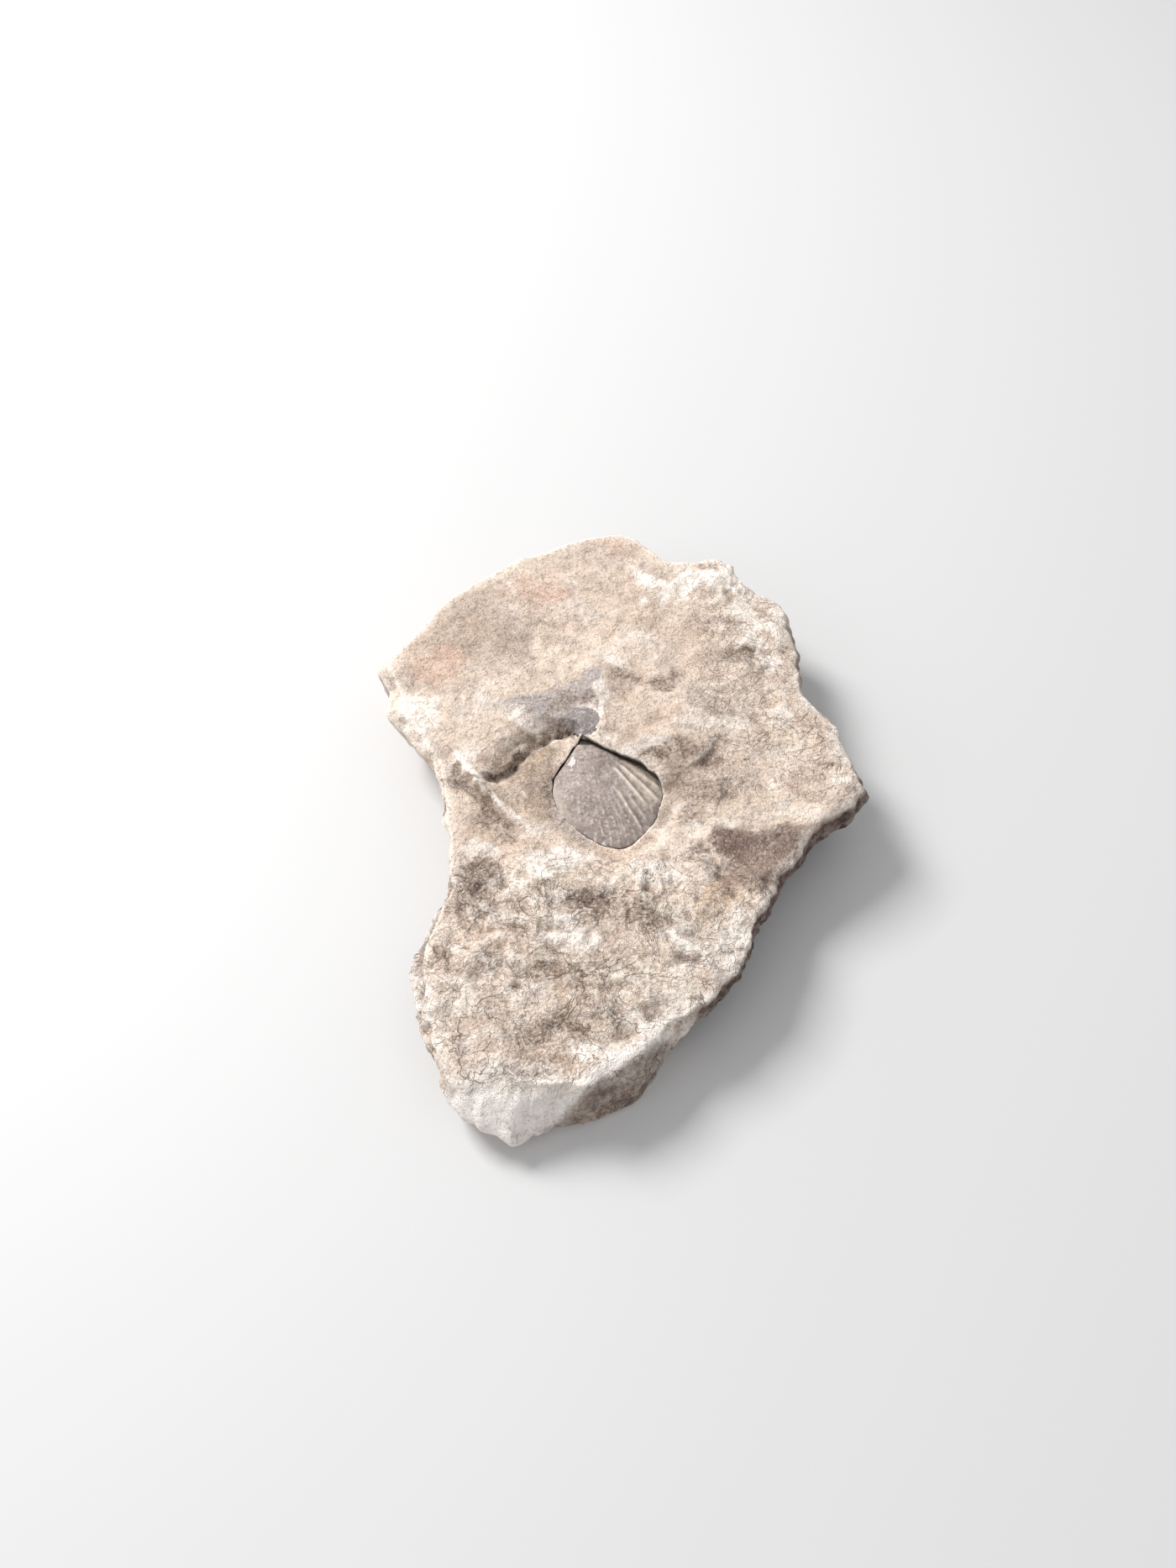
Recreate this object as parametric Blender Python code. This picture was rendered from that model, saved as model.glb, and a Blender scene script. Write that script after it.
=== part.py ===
"""A small ribbed brachiopod valve still seated in its loose slab of limestone, lying flat.

X runs to the right of the slab as it lies, Y away from its pointed toe, Z up. The origin is the
middle of the slab's footprint, on the surface that it rests on. Lengths below are in millimetres.
"""

import bpy
import numpy as np

# Main sizes
MM = 0.001
MIDDLE = (-1.43, 7.10)
HEART = (-2.5, 4.5)
TOP_LEVEL = 11.3
TOE_DROP = 3.0
MATRIX_CELLS = 96
MATRIX_KEPT = 0.128
SEAT_GAP = 0.35

# Outline of the slab seen from above, anticlockwise from the right-hand corner: x, y, height of
# the widest line, inset of the upper rim, inset of the foot. Insets run towards HEART.
SLAB = (
    (31.7, 4.7, 9.0, 0.6, 7.5),
    (31.3, 6.6, 9.3, 0.8, 5.5),
    (30.3, 9.2, 9.5, 0.9, 4.0),
    (29.2, 12.0, 9.5, 0.9, 3.0),
    (29.0, 15.0, 9.4, 0.9, 3.0),
    (27.3, 17.9, 9.4, 1.0, 2.8),
    (25.3, 21.0, 9.4, 1.0, 2.8),
    (25.1, 24.4, 9.4, 1.1, 3.0),
    (25.2, 28.9, 9.4, 1.1, 3.0),
    (24.0, 32.9, 9.4, 1.1, 3.0),
    (24.1, 36.4, 9.4, 1.1, 3.2),
    (22.4, 39.2, 9.4, 1.1, 3.2),
    (20.0, 39.9, 9.4, 1.0, 3.0),
    (18.0, 41.3, 9.4, 1.0, 3.0),
    (16.6, 43.7, 9.4, 1.0, 3.0),
    (14.7, 46.3, 9.4, 1.0, 3.4),
    (10.6, 46.3, 9.4, 0.9, 3.2),
    (7.0, 46.9, 9.4, 0.9, 3.0),
    (4.2, 49.6, 9.4, 0.9, 3.0),
    (0.2, 53.1, 9.4, 1.0, 3.8),
    (-4.4, 51.9, 9.4, 0.9, 3.2),
    (-9.9, 49.3, 9.4, 0.8, 3.0),
    (-15.0, 46.9, 9.4, 0.8, 3.0),
    (-20.1, 43.8, 9.4, 0.8, 3.0),
    (-24.4, 39.8, 9.4, 0.8, 3.2),
    (-28.5, 35.0, 9.4, 0.9, 3.4),
    (-32.4, 30.2, 9.3, 1.2, 4.0),
    (-34.6, 28.0, 9.2, 1.8, 5.0),
    (-35.3, 26.5, 9.0, 2.4, 5.5),
    (-33.5, 22.7, 8.8, 3.0, 5.5),
    (-32.6, 18.8, 8.8, 3.2, 6.0),
    (-30.2, 16.1, 8.9, 3.0, 6.5),
    (-27.5, 12.2, 9.6, 1.6, 6.5),
    (-25.4, 9.2, 10.4, 0.6, 6.5),
    (-24.2, 4.4, 10.4, 0.4, 6.5),
    (-23.5, -0.2, 10.4, 0.4, 6.0),
    (-22.8, -4.1, 10.2, 0.4, 5.5),
    (-22.1, -8.6, 9.4, 0.6, 5.0),
    (-22.2, -9.9, 8.4, 1.4, 4.5),
    (-24.2, -11.8, 7.0, 3.6, 4.5),
    (-25.4, -14.4, 6.4, 3.6, 4.5),
    (-26.5, -18.2, 6.0, 3.2, 3.6),
    (-26.2, -22.2, 6.0, 2.6, 2.8),
    (-25.1, -25.8, 6.6, 1.6, 2.6),
    (-23.4, -29.5, 6.6, 1.2, 2.6),
    (-22.1, -32.7, 5.8, 1.2, 2.4),
    (-21.2, -35.2, 5.0, 1.8, 2.4),
    (-19.7, -36.6, 4.4, 3.0, 2.4),
    (-17.2, -37.6, 4.0, 4.2, 2.4),
    (-14.1, -39.4, 3.5, 5.6, 2.4),
    (-12.4, -38.4, 2.6, 4.6, 1.6),
    (-9.9, -37.3, 2.0, 2.8, 1.0),
    (-5.5, -36.1, 1.5, 1.3, 0.6),
    (-2.4, -35.2, 1.5, 1.5, 0.6),
    (0.7, -33.4, 1.5, 1.8, 0.6),
    (3.2, -30.8, 1.7, 1.8, 0.7),
    (4.6, -28.7, 3.5, 1.2, 1.6),
    (7.2, -26.6, 6.0, 0.7, 2.8),
    (9.9, -24.5, 7.0, 0.7, 3.6),
    (12.4, -22.0, 7.2, 0.7, 3.8),
    (14.7, -18.9, 7.2, 0.7, 3.8),
    (16.0, -16.1, 7.4, 0.7, 4.0),
    (16.3, -13.6, 7.6, 0.7, 4.2),
    (17.3, -12.5, 7.6, 0.7, 4.4),
    (18.6, -10.4, 7.6, 0.7, 4.8),
    (20.8, -6.4, 7.6, 0.8, 5.8),
    (23.9, -2.5, 7.7, 0.9, 7.5),
    (25.5, -1.0, 7.6, 0.9, 8.5),
    (27.5, 0.5, 7.5, 0.9, 9.0),
    (29.7, 2.2, 7.7, 0.8, 9.0),
)

# The broken step that runs in from the left edge and round the back of the valve: x, y, drop, run
STEP = (
    (-22.1, 6.5, 0.2, 1.0),
    (-18.7, 6.0, 0.5, 0.6),
    (-17.0, 6.3, 0.9, 0.5),
    (-15.9, 7.3, 1.2, 0.8),
    (-14.9, 9.6, 1.5, 1.6),
    (-12.5, 12.1, 1.7, 1.6),
    (-10.9, 13.4, 1.8, 1.6),
    (-9.6, 15.4, 1.8, 1.4),
    (-7.7, 15.6, 1.9, 1.2),
    (-6.8, 14.5, 2.0, 0.8),
    (-5.4, 13.2, 2.0, 0.5),
    (-2.8, 11.4, 1.8, 0.4),
    (0.8, 9.9, 1.7, 0.4),
    (3.4, 8.0, 1.5, 0.4),
    (4.4, 6.7, 1.2, 0.4),
    (5.4, 4.2, 0.0, 0.4),
)

# The narrow crest that runs from the left edge down to the front of the valve: x, y, rise
CREST = (
    (-19.8, 6.6, 0.4),
    (-18.8, 5.8, 1.0),
    (-17.7, 4.0, 1.1),
    (-16.6, 2.4, 1.1),
    (-15.3, 1.2, 1.0),
    (-13.5, -0.2, 0.8),
    (-11.0, -2.0, 0.6),
    (-6.5, -5.0, 0.3),
    (-2.4, -7.2, 0.1),
)

# The facet that dips towards the lower right edge: x, y, drop
DIP = (
    (9.3, -10.0, 0.0),
    (10.3, -7.1, 0.5),
    (11.1, -4.6, 1.2),
    (12.3, -3.1, 1.5),
    (14.7, -1.9, 1.5),
    (17.9, -2.1, 1.3),
    (21.4, -2.9, 0.9),
    (26.0, -3.4, 0.0),
)

# A short break to the right of the valve, the raised lip above the toe and a small vein
BREAK = ((7.4, 7.5, 0.2), (8.8, 8.5, 0.6), (10.1, 9.6, 0.9), (11.2, 11.0, 0.8), (12.0, 12.5, 0.2))
LIP = ((-12.0, -32.0, 0.2), (-9.0, -33.2, 0.4), (-6.5, -33.2, 0.4), (-2.0, -31.0, 0.4), (3.0, -28.4, 0.2))
VEIN = ((4.0, -16.2, 0.2), (6.4, -18.0, 0.4), (9.3, -20.6, 0.3))

# Lumps and hollows of the upper face: x, y, radius along x, radius along y, height
LUMPS = (
    (-3.0, 30.0, 16.0, 16.0, 0.9),
    (-2.5, 5.0, 7.0, 7.0, -1.2),
    (1.7, -9.2, 2.2, 2.0, 0.5),
    (19.0, 25.3, 2.2, 1.8, 0.6),
    (20.6, 17.1, 2.4, 2.0, 0.6),
    (19.7, 18.3, 0.9, 0.8, -0.6),
    (24.0, 13.6, 1.8, 1.5, 0.5),
    (25.2, 10.6, 1.8, 1.4, 0.4),
    (4.9, 40.8, 2.4, 1.8, 0.4),
    (13.0, 42.6, 2.4, 1.8, 0.4),
    (6.4, -19.2, 0.8, 0.7, -0.5),
    (-11.5, 24.0, 5.0, 4.0, -0.4),
    (9.5, 31.0, 4.5, 3.5, -0.3),
    (-16.5, -12.0, 3.0, 3.0, -0.4),
    (-3.0, -22.0, 5.0, 4.0, 0.3),
)

# The valve: beak, direction from beak to front margin, reach at angles either side of it
BEAK = (-5.9, 13.6)
AXIS = (0.3, -0.954)
VALVE_ANGLES = (-45.6, -41.8, -36.4, -30.2, -23.6, -18.6, -13.4, -6.1, 1.2, 8.7, 13.8, 20.3, 25.7,
                31.0, 37.0, 40.5, 43.5, 45.5)
VALVE_REACH = (6.6, 9.4, 10.8, 12.7, 13.8, 14.6, 15.8, 17.4, 18.1, 17.2, 16.8, 15.9, 14.9, 14.2,
               13.4, 12.4, 10.7, 8.2)
VALVE_SPAN = 90.0
RIBS = 36
VALVE_ROWS = 12
MARGIN_HEIGHT = 10.1
MARGIN_EDGE = 0.5
VALVE_RISE = 1.75
VALVE_BELOW = 0.9
RIB_HEIGHT = 0.13
FLANK_RIB_HEIGHT = 0.24

# The beak end of the other valve, bare just behind the first
UMBO = ((-5.1, 12.9), (-4.4, 13.4), (-3.9, 14.5), (-3.4, 15.9), (-3.6, 17.0), (-4.9, 17.7), (-6.8, 17.8),
        (-8.5, 17.3), (-8.0, 16.2), (-7.0, 15.2), (-6.2, 14.1), (-5.7, 13.3))
UMBO_CELLS = 10
UMBO_TOP = 11.55
UMBO_RISE = 0.45
UMBO_FLOOR = 9.7
UMBO_LIFT = 1.25


def smooth(t):
    """Zero below 0, one above 1, an S curve between."""
    t = np.clip(t, 0.0, 1.0)
    return t * t * (3.0 - 2.0 * t)


def lattice(ix, iy, iz, seed):
    """A fixed irregular value in -1..1 for each whole-number point."""
    mixed = (ix * 374761393 + iy * 668265263 + iz * 1440662683 + seed * 1274126177) & 0xFFFFFFFF
    mixed = ((mixed ^ (mixed >> 13)) * 1274126177) & 0xFFFFFFFF
    mixed = mixed ^ (mixed >> 16)
    return mixed / 2147483647.5 - 1.0


def noise(points, size, seed):
    """Lattice values blended between the eight corners of each cell of the given size."""
    scaled = points / size
    low = np.floor(scaled).astype(np.int64)
    part = scaled - low
    part = part * part * part * (part * (part * 6.0 - 15.0) + 10.0)
    total = np.zeros(len(points))
    for corner in range(8):
        step = np.array([corner & 1, (corner >> 1) & 1, corner >> 2])
        weight = np.prod(np.where(step, part, 1.0 - part), axis=1)
        at = low + step
        total += weight * lattice(at[:, 0], at[:, 1], at[:, 2], seed)
    return total


def roughness(points, size, layers, seed):
    """Noise in layers, each half as big and half as high as the one before."""
    return sum(noise(points, size * 0.5**k, seed + k) * 0.5**k for k in range(layers))


def closed_curve(table, count):
    """A smooth closed curve through the rows of a table, sampled evenly by its length in x and y."""
    table = np.array(table, float)
    before, after, next_after = np.roll(table, 1, 0), np.roll(table, -1, 0), np.roll(table, -2, 0)
    pieces = []
    for t in np.linspace(0.0, 1.0, 12, endpoint=False):
        bend = 0.5 * (2 * table + (after - before) * t
                      + (2 * before - 5 * table + 4 * after - next_after) * t**2
                      + (3 * table - before - 3 * after + next_after) * t**3)
        straight = table + (after - table) * t
        pieces.append(0.6 * bend + 0.4 * straight)
    fine = np.stack(pieces, 1).reshape(-1, table.shape[1])
    fine = np.vstack([fine, fine[:1]])
    length = np.concatenate([[0.0], np.cumsum(np.hypot(*np.diff(fine[:, :2], axis=0).T))])
    at = np.linspace(0.0, length[-1], count, endpoint=False)
    return np.stack([np.interp(at, length, column) for column in fine.T], 1)


def path_distance(x, y, path):
    """Distance to a path, positive on its right-hand side, and its other columns at the nearest point."""
    best = np.full(x.shape, 1e9)
    signed = np.zeros(x.shape)
    values = np.zeros((len(path[0]) - 2,) + x.shape)
    for a, b in zip(np.array(path), np.array(path[1:])):
        ux, uy = b[:2] - a[:2]
        t = np.clip(((x - a[0]) * ux + (y - a[1]) * uy) / (ux * ux + uy * uy), 0.0, 1.0)
        dx, dy = x - a[0] - t * ux, y - a[1] - t * uy
        distance = np.hypot(dx, dy)
        nearer = distance < best
        best = np.where(nearer, distance, best)
        signed = np.where(nearer, distance * np.sign(dx * uy - dy * ux), signed)
        for value, start, end in zip(values, a[2:], b[2:]):
            value[nearer] = (start + (end - start) * t)[nearer]
    return signed, *values


def top_height(x, y):
    """Height of the upper face: a level that falls to the toe, with lumps, facets and breaks."""
    z = TOP_LEVEL - TOE_DROP * smooth((-8.0 - y) / 28.0)
    z = z - 1.0 * smooth((-14.0 - x) / 12.0) * smooth((-6.0 - y) / 8.0)
    for cx, cy, rx, ry, height in LUMPS:
        z = z + height * np.exp(-0.5 * (((x - cx) / rx) ** 2 + ((y - cy) / ry) ** 2))
    d, drop, run = path_distance(x, y, STEP)
    z = z - drop * smooth(d / run) * np.exp(-np.maximum(d - run, 0.0) / 3.5)
    d, rise = path_distance(x, y, CREST)
    z = z + rise * np.where(d > 0.0, np.exp(-d / 0.8), np.exp(d / 2.6))
    z = z - 0.9 * rise * smooth(d / 1.2) * np.exp(-np.maximum(d, 0.0) / 6.0)
    d, drop = path_distance(x, y, BREAK)
    z = z - drop * smooth((d + 0.3) / 0.8) * np.exp(-np.abs(d) / 2.5)
    d, drop = path_distance(x, y, DIP)
    z = z - drop * (0.6 * smooth(d / 1.2) + 0.4 * smooth(d / 6.0))
    for path, width in ((LIP, 1.3), (VEIN, 0.9)):
        d, rise = path_distance(x, y, path)
        z = z + rise * np.exp(-((d / width) ** 2))
    return z


def ring_grid(cells):
    """Each point of a square grid as its ring, 0 in the middle to 1 outside, and its place on the ring."""
    line = np.linspace(-1.0, 1.0, cells + 1)
    a, b = np.meshgrid(line, line, indexing="ij")
    a, b = a.ravel(), b.ravel()
    ring = np.maximum(np.abs(a), np.abs(b))
    safe = np.where(ring > 0.0, ring, 1.0)
    right, left = (a >= np.abs(b)), (-a >= np.abs(b))
    place = np.where(right, b / safe, np.where(left, 4.0 - b / safe, np.where(b > 0, 2.0 - a / safe, 6.0 + a / safe)))
    return ring, np.mod(place, 8.0) / 8.0


def grid_faces(cells):
    """Square faces of a grid, facing up."""
    index = np.arange((cells + 1) ** 2).reshape(cells + 1, cells + 1)
    return np.stack([index[:-1, :-1], index[1:, :-1], index[1:, 1:], index[:-1, 1:]], -1).reshape(-1, 4)


def grid_border(cells):
    """Indices round the border of a grid, anticlockwise from the middle of its right side."""
    index = np.arange((cells + 1) ** 2).reshape(cells + 1, cells + 1)
    half = cells // 2
    return np.concatenate([index[-1, half:-1], index[:0:-1, -1], index[0, :0:-1], index[:-1, 0], index[-1, :half]])


def band_faces(lower, upper):
    """Faces between two closed loops of equal length, facing out of an anticlockwise loop."""
    return np.stack([lower, np.roll(lower, -1), np.roll(upper, -1), upper], 1)


def at_place(loop, place):
    """Rows of a closed loop at fractional places 0..1 round it."""
    count = len(loop)
    at = place * count
    low = np.floor(at).astype(int) % count
    part = (at - np.floor(at))[:, None]
    return loop[low] * (1.0 - part) + loop[(low + 1) % count] * part


def slab_mesh(cells):
    """Upper face, profiled side and resting face of the slab."""
    border = grid_border(cells)
    loop = closed_curve(SLAB, len(border))
    heart = np.array(HEART)
    ring, place = ring_grid(cells)
    rows = at_place(loop, place)
    reach = np.hypot(*(loop[:, :2] - heart).T)

    def spread(fraction, rows_xy):
        return heart + (rows_xy - heart) * fraction[:, None]

    row_reach = np.hypot(*(rows[:, :2] - heart).T)
    rim = 1.0 - rows[:, 3] / row_reach
    top_xy = spread(ring * rim, rows[:, :2])
    inside = (1.0 - ring) * row_reach
    top = np.column_stack([top_xy, top_height(*top_xy.T) - 0.5 * np.exp(-inside / 1.2)])
    widest = np.column_stack([loop[:, :2], loop[:, 2]])
    shoulder_xy = spread(1.0 - 0.35 * loop[:, 3] / reach, loop[:, :2])
    rim_height = top[border, 2]
    shoulder = np.column_stack([shoulder_xy, 0.45 * loop[:, 2] + 0.55 * rim_height])
    bands = [shoulder, widest]
    for inward, height in ((0.05, 0.82), (0.18, 0.64), (0.36, 0.46), (0.58, 0.28), (0.82, 0.12)):
        xy = spread(1.0 - inward * loop[:, 4] / reach, loop[:, :2])
        bands.append(np.column_stack([xy, height * loop[:, 2]]))
    foot = 1.0 - rows[:, 4] / row_reach
    base_xy = spread(ring * foot, rows[:, :2])
    base_points = np.column_stack([base_xy, np.zeros(len(base_xy))])
    hollows = np.maximum(roughness(base_points, 14.0, 3, 71) - 0.3, 0.0) * 1.1
    edge_lift = 0.35 * np.exp(-inside / 1.0)
    base = np.column_stack([base_xy, hollows * smooth(inside / 3.0) + edge_lift])

    points = np.vstack([top] + bands + [base])
    points = roughen(points)
    count = len(top)
    loops = [border] + [count + k * len(border) + np.arange(len(border)) for k in range(len(bands))]
    base_start = count + len(bands) * len(border)
    loops.append(base_start + border)
    faces = [grid_faces(cells)]
    faces += [band_faces(low, high) for high, low in zip(loops, loops[1:])]
    faces.append(grid_faces(cells)[:, ::-1] + base_start)
    return points, np.vstack(faces)


def roughen(points):
    """Moves every point by a smooth irregular field, which leaves the resting face flat."""
    free = smooth(points[:, 2] / 2.5)
    amounts = (0.42, 0.42, 0.40)
    shift = [amount * roughness(points, 8.0, 4, 11 + 20 * k) for k, amount in enumerate(amounts)]
    chips = 0.7 * np.abs(noise(points, 4.6, 91)) + 0.5 * np.abs(noise(points, 2.4, 95)) - 0.35
    side = smooth((np.hypot(points[:, 0] - HEART[0], (points[:, 1] - HEART[1]) * 0.7) - 15.0) / 8.0)
    away = points[:, :2] - np.array(HEART)
    away = away / np.maximum(np.hypot(*away.T), 1.0)[:, None]
    moved = points + np.stack(shift, 1) * np.stack([free, free, free], 1)
    moved[:, :2] += away * (chips * side * free)[:, None]
    return moved


def valve_xy(reach, angle):
    """Plan position at a distance from the beak and an angle in degrees to the right of the axis."""
    axis = np.array(AXIS) / np.hypot(*AXIS)
    side = np.array([-axis[1], axis[0]])
    a = np.radians(angle)[..., None]
    return np.array(BEAK) + reach[..., None] * (np.cos(a) * axis + np.sin(a) * side)


def valve_mesh(rows, columns, grow=0.0, cutter=False):
    """The valve as a fan of columns from the beak; as a cutter, grown and open to the sky."""
    angle = np.linspace(-0.5, 0.5, columns + 1) * VALVE_SPAN
    part = np.linspace(0.0, 1.0, rows + 1)[1:]
    t, angle = np.meshgrid(part, angle, indexing="ij")
    turns = (-3.0, 0.0, 3.0)
    reach = t * sum(np.interp(angle + turn, VALVE_ANGLES, VALVE_REACH) for turn in turns) / 3.0
    xy = valve_xy(reach, angle)
    along = reach * np.cos(np.radians(angle))
    side = reach * np.sin(np.radians(angle))
    margin = MARGIN_HEIGHT - 0.03 * along - 0.04 * side
    across = np.abs(angle) / (0.5 * VALVE_SPAN)
    dome = (1.0 - t**2.6) ** 0.85 * (1.0 - across**2.6) ** 0.7 * np.minimum(reach / 4.5, 1.0) ** 0.9
    height = RIB_HEIGHT + (FLANK_RIB_HEIGHT - RIB_HEIGHT) * smooth((side - 2.0) / 3.0)
    worn = smooth((t - 0.3) / 0.35) * smooth((side + 7.0) / 4.0)
    ribs = 0.5 * np.cos(np.radians(angle) * RIBS * 360.0 / VALVE_SPAN)
    top = margin + VALVE_RISE * dome + height * worn * ribs * smooth((1.02 - t) / 0.1)
    low = margin - MARGIN_EDGE - VALVE_BELOW * dome
    beak = np.array([*BEAK, MARGIN_HEIGHT])
    if cutter:
        top = np.full(top.shape, 16.0)
        low = low - grow
        beak_top, beak_low = 16.0, MARGIN_HEIGHT - MARGIN_EDGE - grow
        centre = valve_xy(np.array(9.5), np.array(5.0))
        xy = centre + (xy - centre) * (1.0 + grow / 7.0)
        beak[:2] = centre + (beak[:2] - centre) * (1.0 + grow / 7.0)
    else:
        beak_top, beak_low = MARGIN_HEIGHT, MARGIN_HEIGHT - MARGIN_EDGE
    upper = np.concatenate([xy, top[..., None]], -1).reshape(-1, 3)
    lower = np.concatenate([xy, low[..., None]], -1).reshape(-1, 3)
    poles = [[beak[0], beak[1], beak_top], [beak[0], beak[1], beak_low]]
    points = np.vstack([upper, lower, poles])
    index = np.arange(rows * (columns + 1)).reshape(rows, columns + 1)
    under = index + index.size
    pole_up, pole_down = 2 * index.size, 2 * index.size + 1
    quads = np.stack([index[:-1, :-1], index[1:, :-1], index[1:, 1:], index[:-1, 1:]], -1).reshape(-1, 4)
    faces = [tuple(q) for q in quads]
    faces += [tuple(q[::-1] + index.size) for q in quads]
    for k in range(columns):
        faces.append((pole_up, index[0, k], index[0, k + 1]))
        faces.append((pole_down, under[0, k + 1], under[0, k]))
        faces.append((index[-1, k], under[-1, k], under[-1, k + 1], index[-1, k + 1]))
    for j in range(rows - 1):
        faces.append((index[j, 0], under[j, 0], under[j + 1, 0], index[j + 1, 0]))
        faces.append((index[j + 1, -1], under[j + 1, -1], under[j, -1], index[j, -1]))
    faces.append((pole_up, pole_down, under[0, 0], index[0, 0]))
    faces.append((index[0, -1], under[0, -1], pole_down, pole_up))
    return points, faces


def umbo_mesh(cells, grow=0.0, cutter=False):
    """A low hooked dome whose tip reaches over the valve; as a cutter, grown and open to the sky."""
    border = grid_border(cells)
    loop = closed_curve(UMBO, len(border))
    centre = np.array(UMBO).mean(axis=0)
    ring, place = ring_grid(cells)
    xy = centre + (at_place(loop, place) - centre) * (ring * (1.0 + grow / 1.6))[:, None]
    top = UMBO_TOP + UMBO_RISE * (1.0 - ring**2)
    low = UMBO_FLOOR + UMBO_LIFT * smooth((15.2 - xy[:, 1]) / 1.6)
    if cutter:
        top = np.full(len(xy), 16.0)
        low = np.full(len(xy), UMBO_FLOOR - grow)
    points = np.vstack([np.column_stack([xy, top]), np.column_stack([xy, low])])
    under = border + len(xy)
    faces = np.vstack([grid_faces(cells), band_faces(under, border), grid_faces(cells)[:, ::-1] + len(xy)])
    return points, faces


def stone(name, colour, rough):
    """A plain matt stone material."""
    material = bpy.data.materials.new(name)
    material.use_nodes = True
    surface = material.node_tree.nodes["Principled BSDF"]
    surface.inputs["Base Color"].default_value = (*colour, 1.0)
    surface.inputs["Roughness"].default_value = rough
    material.diffuse_color = (*colour, 1.0)
    return material


def add_object(name, points, faces, material=None):
    """A mesh object from points in millimetres, moved so that the footprint's middle is the origin."""
    placed = (points - np.array([MIDDLE[0], MIDDLE[1], 0.0])) * MM
    mesh = bpy.data.meshes.new(name)
    mesh.from_pydata([tuple(p) for p in placed], [], [tuple(int(i) for i in face) for face in faces])
    mesh.validate()
    obj = bpy.data.objects.new(name, mesh)
    bpy.context.scene.collection.objects.link(obj)
    if material:
        mesh.materials.append(material)
    return obj


def hide_cutter(obj):
    """Keeps a cutter out of the finished part."""
    obj.hide_render = True
    obj.display_type = "WIRE"


def build():
    """Makes the slab with its two seats, the valve and the umbo."""
    for obj in list(bpy.data.objects):
        bpy.data.objects.remove(obj)
    limestone = stone("limestone", (0.52, 0.43, 0.35), 0.85)
    shell = stone("fossil_shell", (0.30, 0.26, 0.24), 0.6)
    worn_shell = stone("worn_fossil_shell", (0.30, 0.29, 0.31), 0.6)
    slab = add_object("limestone_matrix", *slab_mesh(MATRIX_CELLS), limestone)
    fewer = slab.modifiers.new("fewer_faces", "DECIMATE")
    fewer.ratio = MATRIX_KEPT
    valve_seat = add_object("valve_seat", *valve_mesh(4, 24, SEAT_GAP, True))
    umbo_seat = add_object("umbo_seat", *umbo_mesh(6, SEAT_GAP, True))
    for seat in (valve_seat, umbo_seat):
        hide_cutter(seat)
        cut = slab.modifiers.new("cut_" + seat.name, "BOOLEAN")
        cut.operation = "DIFFERENCE"
        cut.solver = "EXACT"
        cut.object = seat
    add_object("brachiopod_valve", *valve_mesh(VALVE_ROWS, 2 * RIBS), shell)
    add_object("umbo_fragment", *umbo_mesh(UMBO_CELLS), worn_shell)


build()
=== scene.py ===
"""A ribbed brachiopod valve in its loose slab of limestone, with worn, grainy stone surfaces.

X runs to the right of the slab as it lies, Y away from its pointed toe, Z up. Tables and shape
functions are in millimetres, measured before MIDDLE is moved to the origin.
"""

import math

import bpy
import numpy as np
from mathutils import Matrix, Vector


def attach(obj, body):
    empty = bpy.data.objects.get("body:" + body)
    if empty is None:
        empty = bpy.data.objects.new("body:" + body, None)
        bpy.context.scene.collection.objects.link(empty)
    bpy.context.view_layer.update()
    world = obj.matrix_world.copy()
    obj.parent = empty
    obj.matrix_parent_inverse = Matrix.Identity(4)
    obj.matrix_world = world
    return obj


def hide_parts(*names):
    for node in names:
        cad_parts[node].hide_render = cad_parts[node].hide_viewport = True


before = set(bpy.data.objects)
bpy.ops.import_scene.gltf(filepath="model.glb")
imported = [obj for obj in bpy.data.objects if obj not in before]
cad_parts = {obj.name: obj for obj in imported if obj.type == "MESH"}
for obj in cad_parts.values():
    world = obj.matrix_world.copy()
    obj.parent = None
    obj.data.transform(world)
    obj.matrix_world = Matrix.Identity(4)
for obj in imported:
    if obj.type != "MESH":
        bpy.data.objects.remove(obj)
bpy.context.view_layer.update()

bl_info = {
    "name": "Fossil brachiopod in limestone",
    "version": (1, 0, 0),
    "blender": (4, 5, 0),
    "location": "3D View > Sidebar > Fossil",
    "description": "Builds a small ribbed fossil shell seated in a loose slab of limestone",
    "category": "Add Mesh",
}

# Frame of the slab
MM = 0.001
MIDDLE = (-1.43, 7.10)
HEART = (-2.5, 4.5)
TOP_LEVEL = 11.3
TOE_DROP = 3.0

# Rows and columns of the meshes
SLAB_CELLS = 244
OPENING_RING = 34
SIDE_ROWS = 21
VALVE_ROWS = 100
VALVE_COLUMNS = 288
UMBO_CELLS = 56
FLOOR_SIDES = 96

# Hash of the irregular lattice behind all noise in the meshes
PRIMES = (374761393, 668265263, 1440662683, 1274126177)
WORD = 0xFFFFFFFF

# How often a mesh is averaged to find its fine and its wide relief
FINE_RELIEF = 6
WIDE_RELIEF = 60
SHELL_RELIEF = 10

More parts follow.
